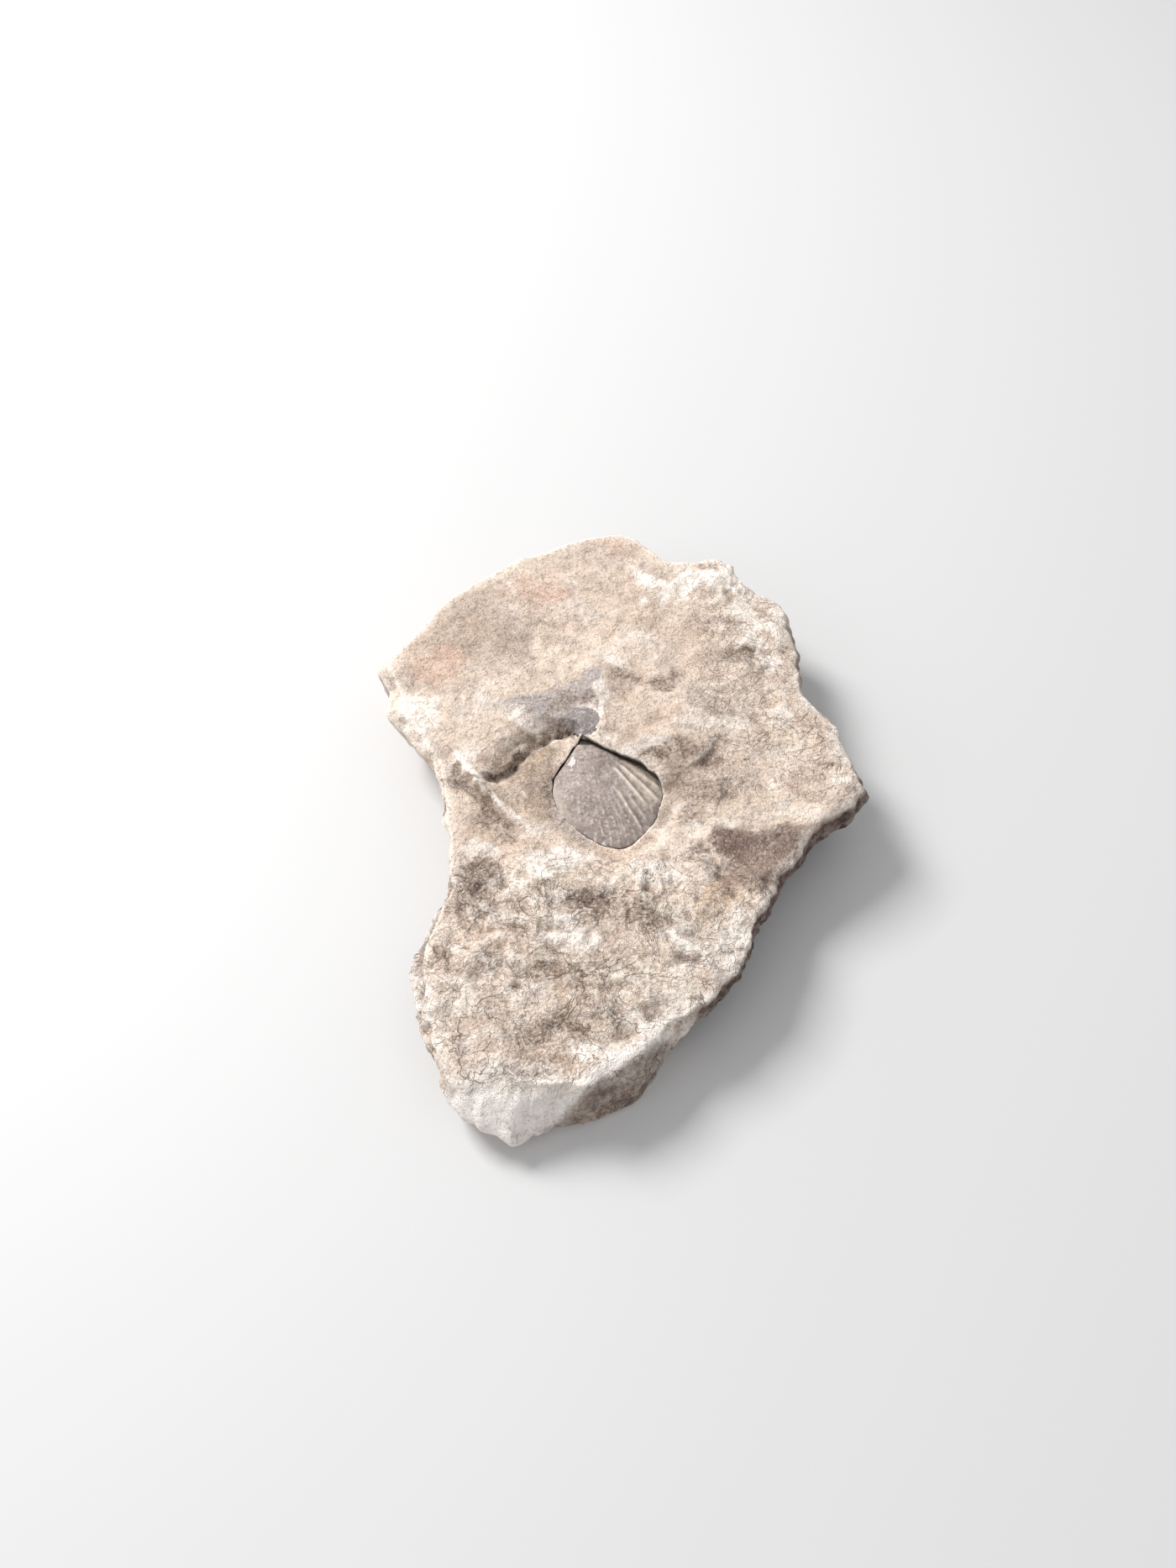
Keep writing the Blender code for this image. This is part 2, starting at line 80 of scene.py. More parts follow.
# Outline of the slab seen from above, anticlockwise from the right-hand corner: x, y, height of
# the widest line, inset of the upper rim, inset of the foot. Insets run towards HEART.
SLAB = (
    (31.7, 4.7, 9.0, 0.6, 7.5), (31.3, 6.6, 9.3, 0.8, 5.5), (30.3, 9.2, 9.5, 0.9, 4.0),
    (29.2, 12.0, 9.5, 0.9, 3.0), (29.0, 15.0, 9.4, 0.9, 3.0), (27.3, 17.9, 9.4, 1.0, 2.8),
    (25.3, 21.0, 9.4, 1.0, 2.8), (25.1, 24.4, 9.4, 1.1, 3.0), (25.2, 28.9, 9.4, 1.1, 3.0),
    (24.0, 32.9, 9.4, 1.1, 3.0), (24.1, 36.4, 9.4, 1.1, 3.2), (22.4, 39.2, 9.4, 1.1, 3.2),
    (20.0, 39.9, 9.4, 1.0, 3.0), (18.0, 41.3, 9.4, 1.0, 3.0), (16.6, 43.7, 9.4, 1.0, 3.0),
    (14.7, 46.3, 9.4, 1.0, 3.4), (10.6, 46.3, 9.4, 0.9, 3.2), (7.0, 46.9, 9.4, 0.9, 3.0),
    (4.2, 49.6, 9.4, 0.9, 3.0), (0.2, 53.1, 9.4, 1.0, 3.8), (-4.4, 51.9, 9.4, 0.9, 3.2),
    (-9.9, 49.3, 9.4, 0.8, 3.0), (-15.0, 46.9, 9.4, 0.8, 3.0), (-20.1, 43.8, 9.4, 0.8, 3.0),
    (-24.4, 39.8, 9.4, 0.8, 3.2), (-28.5, 35.0, 9.4, 0.9, 3.4), (-32.4, 30.2, 9.3, 1.2, 4.0),
    (-34.6, 28.0, 9.2, 1.8, 5.0), (-35.3, 26.5, 9.0, 2.4, 5.5), (-33.5, 22.7, 8.8, 3.0, 5.5),
    (-32.6, 18.8, 8.8, 3.2, 6.0), (-30.2, 16.1, 8.9, 3.0, 6.5), (-27.5, 12.2, 9.6, 1.6, 6.5),
    (-25.4, 9.2, 10.4, 0.6, 6.5), (-24.2, 4.4, 10.4, 0.4, 6.5), (-23.5, -0.2, 10.4, 0.4, 6.0),
    (-22.8, -4.1, 10.2, 0.4, 5.5), (-22.1, -8.6, 9.4, 0.6, 5.0), (-22.2, -9.9, 8.4, 1.4, 4.5),
    (-24.2, -11.8, 7.0, 3.6, 4.5), (-25.4, -14.4, 6.4, 3.6, 4.5), (-26.5, -18.2, 6.0, 3.2, 3.6),
    (-26.2, -22.2, 6.0, 2.6, 2.8), (-25.1, -25.8, 6.6, 1.6, 2.6), (-23.4, -29.5, 6.6, 1.2, 2.6),
    (-22.1, -32.7, 5.8, 1.2, 2.4), (-21.2, -35.2, 5.0, 1.8, 2.4), (-19.7, -36.6, 4.4, 3.0, 2.4),
    (-17.2, -37.6, 4.0, 4.2, 2.4), (-14.1, -39.4, 3.5, 5.6, 2.4), (-12.4, -38.4, 2.6, 4.6, 1.6),
    (-9.9, -37.3, 2.0, 2.8, 1.0), (-5.5, -36.1, 1.5, 1.3, 0.6), (-2.4, -35.2, 1.5, 1.5, 0.6),
    (0.7, -33.4, 1.5, 1.8, 0.6), (3.2, -30.8, 1.7, 1.8, 0.7), (4.6, -28.7, 3.5, 1.2, 1.6),
    (7.2, -26.6, 6.0, 0.7, 2.8), (9.9, -24.5, 7.0, 0.7, 3.6), (12.4, -22.0, 7.2, 0.7, 3.8),
    (14.7, -18.9, 7.2, 0.7, 3.8), (16.0, -16.1, 7.4, 0.7, 4.0), (16.3, -13.6, 7.6, 0.7, 4.2),
    (17.3, -12.5, 7.6, 0.7, 4.4), (18.6, -10.4, 7.6, 0.7, 4.8), (20.8, -6.4, 7.6, 0.8, 5.8),
    (23.9, -2.5, 7.7, 0.9, 7.5), (25.5, -1.0, 7.6, 0.9, 8.5), (27.5, 0.5, 7.5, 0.9, 9.0),
    (29.7, 2.2, 7.7, 0.8, 9.0),
)

# The foot of the broken step that runs in from the left edge and round the back of the valve:
# x, y, drop, width of the slope above it
STEP = (
    (-22.1, 6.6, 0.2, 1.0), (-19.4, 6.3, 0.4, 0.8), (-18.4, 6.5, 0.7, 0.8), (-17.0, 6.9, 1.0, 1.2),
    (-15.9, 7.6, 1.2, 2.0), (-15.0, 8.9, 1.5, 2.6), (-13.9, 10.9, 1.7, 3.0), (-12.5, 12.2, 1.8, 3.0),
    (-11.1, 13.1, 1.9, 2.8), (-9.7, 14.0, 2.0, 2.8), (-8.1, 14.9, 2.0, 1.8), (-7.0, 15.1, 2.0, 0.8),
    (-6.3, 14.2, 2.0, 0.6), (-5.4, 13.2, 2.0, 0.4), (-2.8, 11.4, 1.8, 0.3), (0.8, 9.9, 1.7, 0.3),
    (3.4, 8.0, 1.5, 0.3), (4.4, 6.7, 1.2, 0.3), (5.4, 4.2, 0.0, 0.3),
)

# The narrow crest that runs from the left edge down to the front of the valve: x, y, rise
CREST = (
    (-22.4, 10.4, 0.3), (-20.6, 7.6, 0.7), (-19.6, 6.0, 1.2), (-18.4, 4.4, 1.4), (-16.5, 2.4, 1.4),
    (-13.9, -0.2, 0.7), (-11.4, -2.4, 0.2), (-8.6, -4.2, 0.0),
)

# The left and upper edge of the facet that dips towards the lower right edge: x, y, strength
DIP_CORNER = (11.6, -2.6)
DIP = (
    (8.8, -13.0, 0.0), (9.4, -9.4, 0.4), (10.4, -6.0, 0.8), (11.6, -3.4, 1.0), (14.3, -1.7, 1.0),
    (17.9, -1.4, 0.9), (21.4, -1.8, 0.8), (25.6, -1.9, 0.5),
)

# A short break to the right of the valve, the raised lip above the toe and a small vein: x, y, height
BREAK = ((7.4, 7.5, 0.2), (8.8, 8.5, 0.6), (10.1, 9.6, 0.9), (11.2, 11.0, 0.8), (12.0, 12.5, 0.2))
LIP = ((-12.0, -34.6, 0.2), (-9.3, -34.7, 0.5), (-6.3, -34.4, 0.5), (-3.1, -31.8, 0.4), (0.8, -29.4, 0.4),
       (3.8, -28.2, 0.3), (8.0, -25.4, 0.2))
VEIN = ((4.0, -16.2, 0.2), (6.4, -18.0, 0.4), (9.3, -20.6, 0.3))

RIDGES = ((LIP, 1.3), (VEIN, 0.9))

# Where the toe's pale face meets its dark one: x, y
TOE_EDGE = ((-12.6, -40.4), (-11.4, -38.6), (-10.1, -37.4), (-6.5, -35.3), (-1.4, -32.2), (2.9, -29.2),
            (6.4, -27.0))

# Shares of the step's drop: down its slope, and at its foot
SLOPE_SHARE, FOOT_SHARE = 0.74, 0.14

# Wear of the upper rim and how far in it goes; how far out the stone is fitted to the valve
RIM_WEAR, RIM_WIDTH = 0.3, 0.7
LIP_REACH = 3.2

# The broken side from the widest line down: share of the foot's inset, share of the height
SIDE_PROFILE = ((0.05, 0.82), (0.18, 0.64), (0.36, 0.46), (0.58, 0.28), (0.82, 0.12), (1.0, 0.0))

# The valve's seat, ring by ring inwards from the opening: share of the depth, share of the undercut
SEAT_SINK = (0.0, 0.2, 0.5, 0.8, 1.0, 1.0, 1.0)
SEAT_UNDERCUT = (0.0, 0.05, 0.35, 0.95, 1.0, 1.0, 0.9)

# Lumps and hollows of the upper face: x, y, radius along x, radius along y, height
LUMPS = (
    (-3.0, 30.0, 16.0, 16.0, 0.9), (-2.5, 5.0, 7.0, 7.0, -1.2), (6.0, 1.0, 3.0, 4.5, -0.45),
    (1.7, -9.2, 2.2, 2.0, 0.5), (19.0, 25.3, 2.2, 1.8, 0.6), (20.6, 17.1, 2.4, 2.0, 0.6),
    (19.7, 18.3, 0.9, 0.8, -0.6), (24.0, 13.6, 1.8, 1.5, 0.5), (25.2, 10.6, 1.8, 1.4, 0.4),
    (4.9, 40.8, 2.4, 1.8, 0.4), (13.0, 42.6, 2.4, 1.8, 0.4), (6.4, -19.2, 0.8, 0.7, -0.5),
    (-11.5, 24.0, 5.0, 4.0, -0.4), (9.5, 31.0, 4.5, 3.5, -0.3), (-18.5, -10.5, 3.4, 3.0, -0.6),
    (-3.0, -22.0, 5.0, 4.0, 0.3), (-7.8, 15.0, 1.0, 0.8, -0.6), (-9.4, -8.0, 3.0, 2.2, 0.4),
    (-5.2, -12.6, 2.0, 1.2, -0.4), (17.6, 27.6, 2.6, 1.2, -0.6), (21.6, 33.0, 1.8, 2.6, 0.5),
    (28.4, 4.6, 1.6, 1.2, 0.5), (-11.0, -28.6, 3.4, 1.6, -0.4), (2.8, -14.6, 1.8, 1.2, -0.4),
    (12.0, 42.0, 4.0, 2.0, 0.3),
)

# Small raised creases of the upper face: points x, y, height
CREASES = (
    ((-2.0, -8.6, 0.0), (-3.6, -10.6, 0.25), (-5.6, -12.0, 0.0)),
    ((1.2, -10.4, 0.0), (2.4, -12.4, 0.3), (5.6, -14.6, 0.3), (7.6, -16.4, 0.0)),
    ((-13.8, -9.4, 0.0), (-11.8, -12.0, 0.25), (-10.0, -14.8, 0.2), (-9.6, -17.2, 0.0)),
    ((-18.6, -15.4, 0.0), (-15.0, -16.8, 0.2), (-12.0, -18.6, 0.0)),
    ((0.6, -19.0, 0.0), (2.2, -21.6, 0.25), (1.8, -24.2, 0.2), (0.2, -26.0, 0.0)),
    ((13.6, 11.6, 0.0), (16.8, 12.6, 0.25), (19.8, 11.8, 0.2), (22.4, 12.4, 0.0)),
    ((24.6, 9.4, 0.0), (26.6, 8.6, 0.35), (29.0, 8.2, 0.0)),
    ((24.8, 12.6, 0.0), (27.0, 12.2, 0.35), (28.8, 11.6, 0.0)),
    ((14.6, 30.4, 0.0), (17.0, 29.4, 0.35), (20.6, 28.6, 0.3), (23.6, 28.4, 0.0)),
    ((14.6, 0.4, 0.0), (17.4, 0.2, 0.15), (20.4, 0.4, 0.2), (24.4, -0.2, 0.0)),
    ((4.6, 17.0, 0.0), (8.2, 15.0, 0.25), (11.4, 14.4, 0.2), (13.4, 15.6, 0.0)),
    ((-4.0, 22.6, 0.0), (-3.4, 19.8, 0.2), (-3.0, 16.6, 0.25), (-2.6, 14.4, 0.0)),
    ((-20.6, 12.4, 0.0), (-17.0, 14.2, 0.2), (-13.4, 17.0, 0.2), (-10.6, 19.2, 0.0)),
)

# Thin cracks and scratches of the upper face: points x, y, depth; each ends at depth 0
CRACKS = (
    ((-15.0, -27.5, 0.0), (-14.2, -28.2, 0.3), (-13.3, -28.8, 0.3), (-12.6, -29.3, 0.0)),
    ((-3.2, -24.0, 0.0), (-2.1, -24.8, 0.3), (-1.8, -26.0, 0.25), (-2.4, -27.2, 0.0)),
    ((11.9, 4.8, 0.0), (12.6, 3.9, 0.3), (13.9, 3.6, 0.2), (14.6, 3.9, 0.0)),
    ((-11.0, 8.6, 0.0), (-10.2, 8.0, 0.12), (-9.2, 7.9, 0.0)),
)

# The valve: beak, direction from beak to front margin, reach at angles either side of it, height and
# thickness of its edge, depth below that in the middle, the room left under edge and middle, and how
# far the stone's lip stands above the edge, in general and where it hangs over
BEAK = (-5.9, 13.6)
AXIS = (0.3, -0.954)
VALVE_ANGLES = (-45.6, -41.8, -36.4, -30.2, -23.6, -18.6, -13.4, -6.1, 1.2, 8.7, 13.8, 20.3, 25.7,
                31.0, 37.0, 40.5, 43.5, 45.5)
VALVE_REACH = (6.6, 9.4, 10.8, 12.7, 13.8, 14.6, 15.8, 17.4, 18.1, 17.2, 16.8, 15.9, 14.9, 14.2,
               13.4, 12.4, 10.7, 8.2)
VALVE_SPAN = 90.0
MARGIN_HEIGHT = 10.1
MARGIN_EDGE = 0.5
VALVE_BELOW = 0.9
UNDER_EDGE, UNDER_MIDDLE = 0.2, 0.1
LIP_ABOVE_MARGIN = 0.16
OVERHANG_RISE = 1.8

# Strong ribs of the right flank: angle, start and end of the rib from the beak, height, half width
STRONG_RIBS = (
    (20.6, 6.6, 14.4, 0.30, 0.26), (28.2, 6.8, 15.4, 0.28, 0.30), (10.6, 10.0, 17.0, 0.18, 0.26),
    (35.0, 9.0, 14.0, 0.14, 0.30), (15.4, 11.0, 16.4, 0.12, 0.22),
)

# Space between the stone and the valve by compass angle about HEART; below 0 the stone hangs over
GAP = (
    (0, 0.0), (8, -0.1), (18, -0.45), (30, -0.65), (45, -0.65), (58, -0.65), (76, -0.70), (92, -0.90),
    (103, -0.85), (110, -0.80), (115, -0.35), (120, 0.16), (130, 0.26), (150, 0.26), (165, 0.26),
    (172, 0.22), (179, 0.0), (190, -0.05), (215, -0.05), (232, 0.0), (250, 0.14), (262, 0.22),
    (285, 0.22), (300, 0.12), (315, 0.06), (335, 0.02), (360, 0.0),
)

# Angle in degrees of one rib's crest, and the number of faint growth rings
RIB_PHASE = 10.4
GROWTH_RINGS = 9.0

# The white crust on the valve's left edge: x, y, lean, half width, half length
CRUST = (-7.07, 9.4, 0.10, 0.42, 1.70)

# The beak end of the other valve, bare just behind the first
UMBO = ((-5.3, 12.7), (-4.3, 13.1), (-3.8, 14.4), (-3.4, 15.9), (-3.6, 17.0), (-4.9, 17.7), (-6.8, 17.8),
        (-8.4, 17.3), (-7.9, 16.3), (-7.2, 15.3), (-6.9, 14.3), (-6.5, 13.3))
UMBO_TOP = 11.55
UMBO_RISE = 0.45
UMBO_FLOOR = 9.7
UMBO_LIFT = 1.25
UMBO_SEAT = 0.9
UMBO_TIP = (-5.2, 12.8)
UMBO_MIDDLE, UMBO_NEAR = (-5.8, 15.6), 3.4

# Width of the lines in the stone's material, as a difference in the noise that they follow
CRACK, HAIRLINE, SEAM, GROOVE = 0.012, 0.018, 0.013, 0.02

# What the shell's material reads from its mesh, besides the relief
SHELL_FACTS = ("rib_crest", "calcite", "margin_near", "reach", "side_place", "plica", "furrow", "stony")

# Camera, lights and sky, in metres
CAMERA_PLACE = (-0.00357, -0.0899, 0.1371)
CAMERA_TILT = math.radians(35.0)
CAMERA_LENS = 27.03
SENSOR_WIDTH = 36.0
WINDOW_PLACE, WINDOW_SIZE = (-0.39, 0.31, 0.47), 0.25
FILL_PLACE, FILL_SIZE = (-0.45, -0.30, 0.30), 0.30
SKY_COLOUR = (0.97, 0.98, 1.0, 1.0)

# Stained patches of the upper face, kind by kind: x, y, radius along x, radius along y, strength
STAINS = {
    "dark_stain": (
        (-19.2, -9.0, 2.6, 2.2, 0.8), (-20.2, -11.6, 2.2, 2.0, 0.5), (-5.2, -12.2, 2.8, 1.6, 0.9),
        (3.0, -14.4, 2.0, 1.5, 0.7), (-22.6, -18.0, 1.4, 1.4, 0.6), (-16.4, -19.6, 1.8, 1.6, 0.7),
        (-11.0, -20.4, 2.6, 1.3, 0.6), (-6.0, -21.2, 1.4, 1.0, 0.8), (-10.0, -28.0, 3.6, 1.6, 0.7),
        (-2.8, -25.6, 1.5, 1.9, 0.7), (-12.4, -32.4, 3.0, 1.4, 0.5), (7.0, -19.1, 1.0, 0.8, 1.3),
        (9.8, 10.6, 2.4, 1.6, 0.8), (10.6, 5.0, 3.2, 1.8, 0.7), (9.4, 1.0, 2.0, 1.2, 0.5),
        (3.8, 21.8, 3.8, 1.6, 0.8), (16.0, 27.6, 2.4, 1.0, 0.5), (18.2, 26.0, 1.6, 0.7, 0.6),
        (4.2, 9.6, 1.5, 1.1, 0.9), (-9.2, 5.2, 0.9, 2.4, 1.0), (9.0, -0.6, 1.6, 0.9, 0.7),
        (-18.4, -12.2, 1.6, 1.2, 0.8), (-23.0, 6.4, 1.6, 0.8, 0.9), (-17.8, 1.6, 1.2, 2.2, 0.8),
        (-16.2, -2.4, 1.2, 1.6, 0.6), (12.9, -3.6, 2.2, 1.3, 1.2), (17.2, -3.0, 2.6, 1.2, 0.5),
        (9.6, -6.0, 1.2, 1.8, 0.7), (-7.8, 14.9, 1.2, 0.9, 0.8), (-9.6, 6.4, 0.9, 1.8, 0.8),
        (14.8, 17.6, 2.0, 1.2, 0.3), (-5.8, 19.6, 2.2, 1.3, 0.5),
    ),
    "brown_stain": (
        (16.4, -5.2, 4.8, 3.4, 1.2), (13.2, -7.4, 2.8, 3.0, 1.0), (20.4, -3.8, 3.4, 2.2, 0.9),
        (17.4, -9.0, 2.4, 2.4, 0.6), (-18.6, 0.4, 2.0, 3.0, 0.5), (-13.4, 37.6, 4.0, 3.0, 0.5),
        (13.0, 27.0, 6.0, 2.6, 0.5), (0.6, 23.0, 5.0, 2.6, 0.6), (-22.0, 31.0, 9.0, 9.0, 0.60),
        (5.9, 2.4, 1.5, 3.8, 0.7), (7.6, 6.0, 2.0, 2.2, 0.7), (-20.0, 40.0, 5.0, 4.0, 0.3),
        (11.0, 7.4, 4.4, 4.4, 0.4), (-19.6, -9.8, 3.2, 3.4, 0.5), (-9.6, 19.0, 4.0, 2.2, 0.8),
        (-12.4, 9.4, 4.2, 3.2, 1.2), (-10.2, 5.4, 2.8, 4.6, 1.1), (-14.0, 3.4, 3.0, 2.4, 0.6),
        (-10.0, -30.0, 5.0, 2.4, 0.35),
    ),
    "grey_stain": (
        (-6.8, 18.0, 4.0, 2.6, 1.0), (-11.4, 19.4, 3.2, 1.8, 0.8), (-14.4, 17.6, 2.4, 1.2, 0.5),
        (-5.6, 21.4, 2.0, 1.6, 1.0), (-5.4, 19.0, 2.8, 2.0, 1.2), (3.0, 10.6, 3.4, 1.6, 0.8),
        (17.4, -4.4, 2.6, 1.8, 0.5), (-8.8, -11.0, 2.6, 3.0, 0.5), (5.0, -15.0, 2.6, 1.6, 0.5),
        (-16.0, -33.6, 4.4, 1.6, 0.6), (-7.5, -16.5, 4.0, 2.0, 0.3), (-19.0, -21.6, 2.8, 1.6, 0.4),
    ),
    "pink_stain": (
        (-26.0, 25.4, 4.6, 3.6, 1.0), (-11.6, 38.4, 4.6, 3.2, 0.9), (-0.6, 50.4, 5.0, 2.2, 0.6),
        (27.0, 14.4, 2.8, 3.8, 0.6), (11.8, -9.6, 2.4, 2.4, 0.8), (16.6, -6.4, 4.6, 3.4, 0.5),
        (6.0, 33.0, 6.0, 3.0, 0.3), (-16.0, -16.0, 4.0, 2.0, 0.3),
    ),
    "umber_stain": (
        (16.6, -5.0, 4.4, 2.6, 1.0), (13.8, -3.9, 1.9, 1.4, 1.3), (13.2, -7.4, 2.2, 2.6, 0.8),
        (19.4, -3.4, 2.4, 1.4, 0.8), (17.2, -8.4, 2.2, 1.8, 0.6), (10.4, 10.0, 1.6, 1.2, 0.6),
        (16.4, 27.4, 1.8, 0.7, 0.4), (12.4, -5.6, 1.6, 1.4, 1.0), (-19.0, -8.8, 2.0, 1.6, 0.5),
        (-5.4, -12.2, 2.0, 1.2, 0.6), (7.0, -19.1, 0.9, 0.7, 1.0), (-17.8, 2.0, 0.9, 1.8, 0.5),
        (12.6, 4.4, 2.0, 0.8, 0.5), (14.6, -19.4, 0.8, 0.9, 1.0),
    ),
    "ochre_stain": (
        (11.4, -11.4, 3.2, 2.8, 1.1), (8.2, -0.9, 2.2, 1.1, 0.5), (3.4, -6.4, 1.8, 1.0, 0.6),
        (-8.6, -2.6, 4.4, 1.5, 0.35), (-18.6, -3.6, 2.0, 2.0, 0.4), (1.6, 20.0, 4.0, 2.0, 0.3),
        (-12.4, 8.6, 3.0, 1.6, 0.3), (-10.4, 1.6, 3.0, 2.0, 0.3), (8.0, -25.0, 3.2, 1.4, 0.4),
        (23.0, 18.4, 2.4, 2.4, 0.4), (-8.0, -24.0, 3.0, 1.4, 0.4),
    ),
    "pale_stain": (
        (3.3, -8.4, 2.3, 1.8, 1.0), (4.6, 41.0, 3.4, 2.2, 1.3), (12.9, 42.0, 4.6, 2.4, 1.4),
        (18.8, 29.8, 2.4, 1.2, 0.9), (-1.0, 25.6, 2.2, 1.2, 0.7), (-15.6, 11.4, 2.4, 1.6, 0.25),
        (-18.4, -5.2, 2.0, 1.3, 0.7), (-7.8, -11.4, 1.8, 1.0, 0.8), (11.6, -1.3, 2.2, 0.9, 0.6),
        (2.2, -25.0, 1.6, 1.2, 0.8), (-1.8, -28.4, 1.4, 1.0, 0.9), (-14.6, -32.4, 1.8, 1.5, 0.8),
        (17.6, 35.6, 2.2, 3.6, 0.8), (21.6, 33.0, 1.6, 3.4, 0.8), (20.4, 26.4, 1.4, 1.1, 1.1),
        (20.8, 17.0, 1.9, 1.4, 0.8), (28.4, 5.0, 1.8, 1.1, 0.8), (11.0, 15.8, 4.0, 1.8, 0.7),
        (-2.0, 27.0, 3.4, 1.4, 0.4), (2.6, 29.6, 3.4, 1.6, 0.4), (-3.2, 18.6, 0.7, 3.2, 0.8),
        (-2.6, 13.0, 1.9, 1.1, 0.9), (2.4, 11.8, 1.8, 0.8, 0.5), (22.4, 0.4, 2.4, 1.2, 0.35),
        (9.0, -4.0, 1.6, 2.6, 0.4), (5.0, -2.0, 1.2, 2.6, 0.4), (8.4, -18.4, 1.8, 0.9, 1.0),
        (13.2, -16.0, 2.0, 3.0, 0.9), (10.4, -20.0, 2.4, 2.0, 0.6), (-9.6, -6.4, 3.6, 1.6, 1.0),
        (-12.4, -1.6, 2.4, 1.6, 0.6), (-6.6, -17.4, 2.4, 2.2, 0.8), (-0.6, -21.0, 2.6, 2.0, 0.8),
        (2.6, -27.0, 5.4, 2.2, 1.0), (8.2, -24.0, 3.2, 1.4, 0.6), (-3.6, -31.4, 4.0, 1.4, 1.0),
        (-12.0, -24.4, 3.4, 1.6, 0.5), (-18.2, -25.6, 2.8, 1.8, 0.6), (-12.6, -36.6, 4.6, 2.8, 1.3),
        (-17.6, -35.6, 3.4, 2.6, 1.0), (-14.0, -39.4, 2.6, 2.6, 1.3), (-20.0, 17.6, 4.4, 1.6, 0.4),
        # The second and third spots of the next line paint a highlight on the right rim
        (-28.0, 17.4, 3.4, 3.4, 0.9), (26.6, 22.0, 2.0, 4.0, 0.6), (29.0, 13.0, 1.6, 4.0, 0.6),
        (-14.4, 16.0, 3.2, 1.0, 0.6), (-20.8, 9.0, 1.6, 2.4, 0.6),
    ),
}

# Narrow stains of the upper face: kind, half width, strength, points x, y
STREAKS = (
    # Pale line on the crest's top: pale stone with a painted highlight
    ("pale_stain", 0.44, 1.3, ((-22.2, 10.4), (-20.8, 7.8), (-19.7, 6.1), (-18.4, 4.5), (-16.5, 2.5),
        (-14.0, 0.0))),
    ("pale_stain", 0.80, 0.4, ((-14.0, 0.0), (-11.4, -2.4), (-8.6, -4.2), (-5.5, -6.0))),
    ("grey_stain", 0.70, 1.0, ((-9.9, 5.0), (-9.5, 2.2), (-8.0, -0.6), (-5.6, -2.8))),
    ("dark_stain", 0.40, 1.1, ((-24.6, 7.0), (-23.6, 6.4), (-22.4, 6.3), (-21.0, 5.8))),
    ("dark_stain", 0.60, 0.9, ((-22.3, 8.4), (-22.2, 7.2), (-23.0, 6.4))),
    # Painted shade on the crest's lower left slope
    ("dark_stain", 0.75, 1.0, ((-20.4, 5.4), (-19.3, 4.0), (-17.4, 1.8), (-15.9, -0.4), (-15.0, -3.0))),
    # Painted shadow along the foot of the step, under its overhang
    ("dark_stain", 0.30, 1.5, ((-18.4, 6.5), (-17.0, 6.9), (-15.9, 7.6), (-15.0, 8.9), (-13.9, 10.9),
        (-12.5, 12.2), (-11.1, 13.1), (-9.7, 14.0), (-8.1, 14.9), (-6.9, 14.9), (-6.5, 13.9))),
    ("dark_stain", 0.30, 0.9, ((-9.6, 16.2), (-7.8, 15.8), (-6.8, 14.9))),
    ("brown_stain", 1.2, 0.80, ((-16.8, 9.0), (-15.2, 11.6), (-13.0, 13.4), (-10.4, 15.0), (-8.4, 15.8))),
    ("ochre_stain", 0.8, 0.5, ((-13.0, 9.0), (-10.8, 11.2), (-8.8, 12.2))),
    # Pale line along the lower right rim: worn edge with painted highlight
    ("pale_stain", 0.60, 1.3, ((25.6, -1.6), (22.6, -3.4), (20.2, -5.6), (18.2, -8.8), (17.0, -11.8),
        (15.8, -15.4))),
    ("grey_stain", 0.5, 0.8, ((-23.0, 6.0), (-21.2, 5.4), (-19.8, 4.2))),
    ("pale_stain", 0.45, 0.9, ((-3.8, 21.6), (-3.3, 18.6), (-3.0, 15.7), (-2.7, 14.0))),
    ("pale_stain", 0.80, 1.2, ((-12.0, -34.8), (-9.3, -34.8), (-6.3, -34.6), (-3.1, -31.9), (0.8, -29.4),
        (3.8, -28.3), (8.0, -25.4), (10.6, -23.0))),
    ("pale_stain", 0.50, 1.2, ((5.1, -15.7), (7.0, -17.9), (9.4, -19.8))),
    ("pale_stain", 0.40, 0.6, ((15.6, 0.2), (17.6, -0.3), (19.8, 0.2), (22.5, 0.0), (26.0, 0.2))),
    # Dark line of the break: a dark crease with painted shade on its lower right face
    ("dark_stain", 0.55, 0.9, ((7.6, 7.9), (8.8, 8.8), (10.1, 9.9), (11.3, 11.4), (12.2, 13.0))),
    ("ochre_stain", 0.60, 0.5, ((2.0, -7.4), (4.2, -6.2), (5.8, -3.4), (7.8, -1.2), (9.6, -0.6))),
    ("pale_stain", 0.80, 0.5, ((2.4, -5.6), (4.4, -3.0), (5.8, 0.4), (6.4, 3.0))),
    ("dark_stain", 0.25, 1.1, CRACKS[0]),
    ("dark_stain", 0.25, 1.1, CRACKS[1]),
    ("dark_stain", 0.30, 0.8, CRACKS[2]),
    ("pale_stain", 0.35, 0.8, ((8.6, -11.6), (9.4, -9.0), (10.2, -6.4), (10.9, -4.4))),
    ("dark_stain", 0.40, 0.7, ((-9.2, 14.4), (-10.4, 16.4), (-9.6, 18.2), (-7.0, 19.4))),
    ("pale_stain", 0.30, 0.7, ((-1.6, -9.0), (-3.2, -10.8), (-5.4, -11.2))),
    ("pale_stain", 0.30, 0.7, ((1.6, -10.8), (2.6, -12.8), (5.4, -14.2))),
    ("dark_stain", 0.30, 0.7, ((0.8, -9.8), (-0.4, -12.0), (-0.2, -14.6))),
    ("pale_stain", 0.35, 0.7, ((0.6, -19.0), (2.2, -21.6), (1.8, -24.2))),
)


# ---------------------------------------------------------------- shape functions

def smooth(t):
    """Zero below 0, one above 1, an S curve between."""
    t = np.clip(t, 0.0, 1.0)
    return t * t * (3.0 - 2.0 * t)


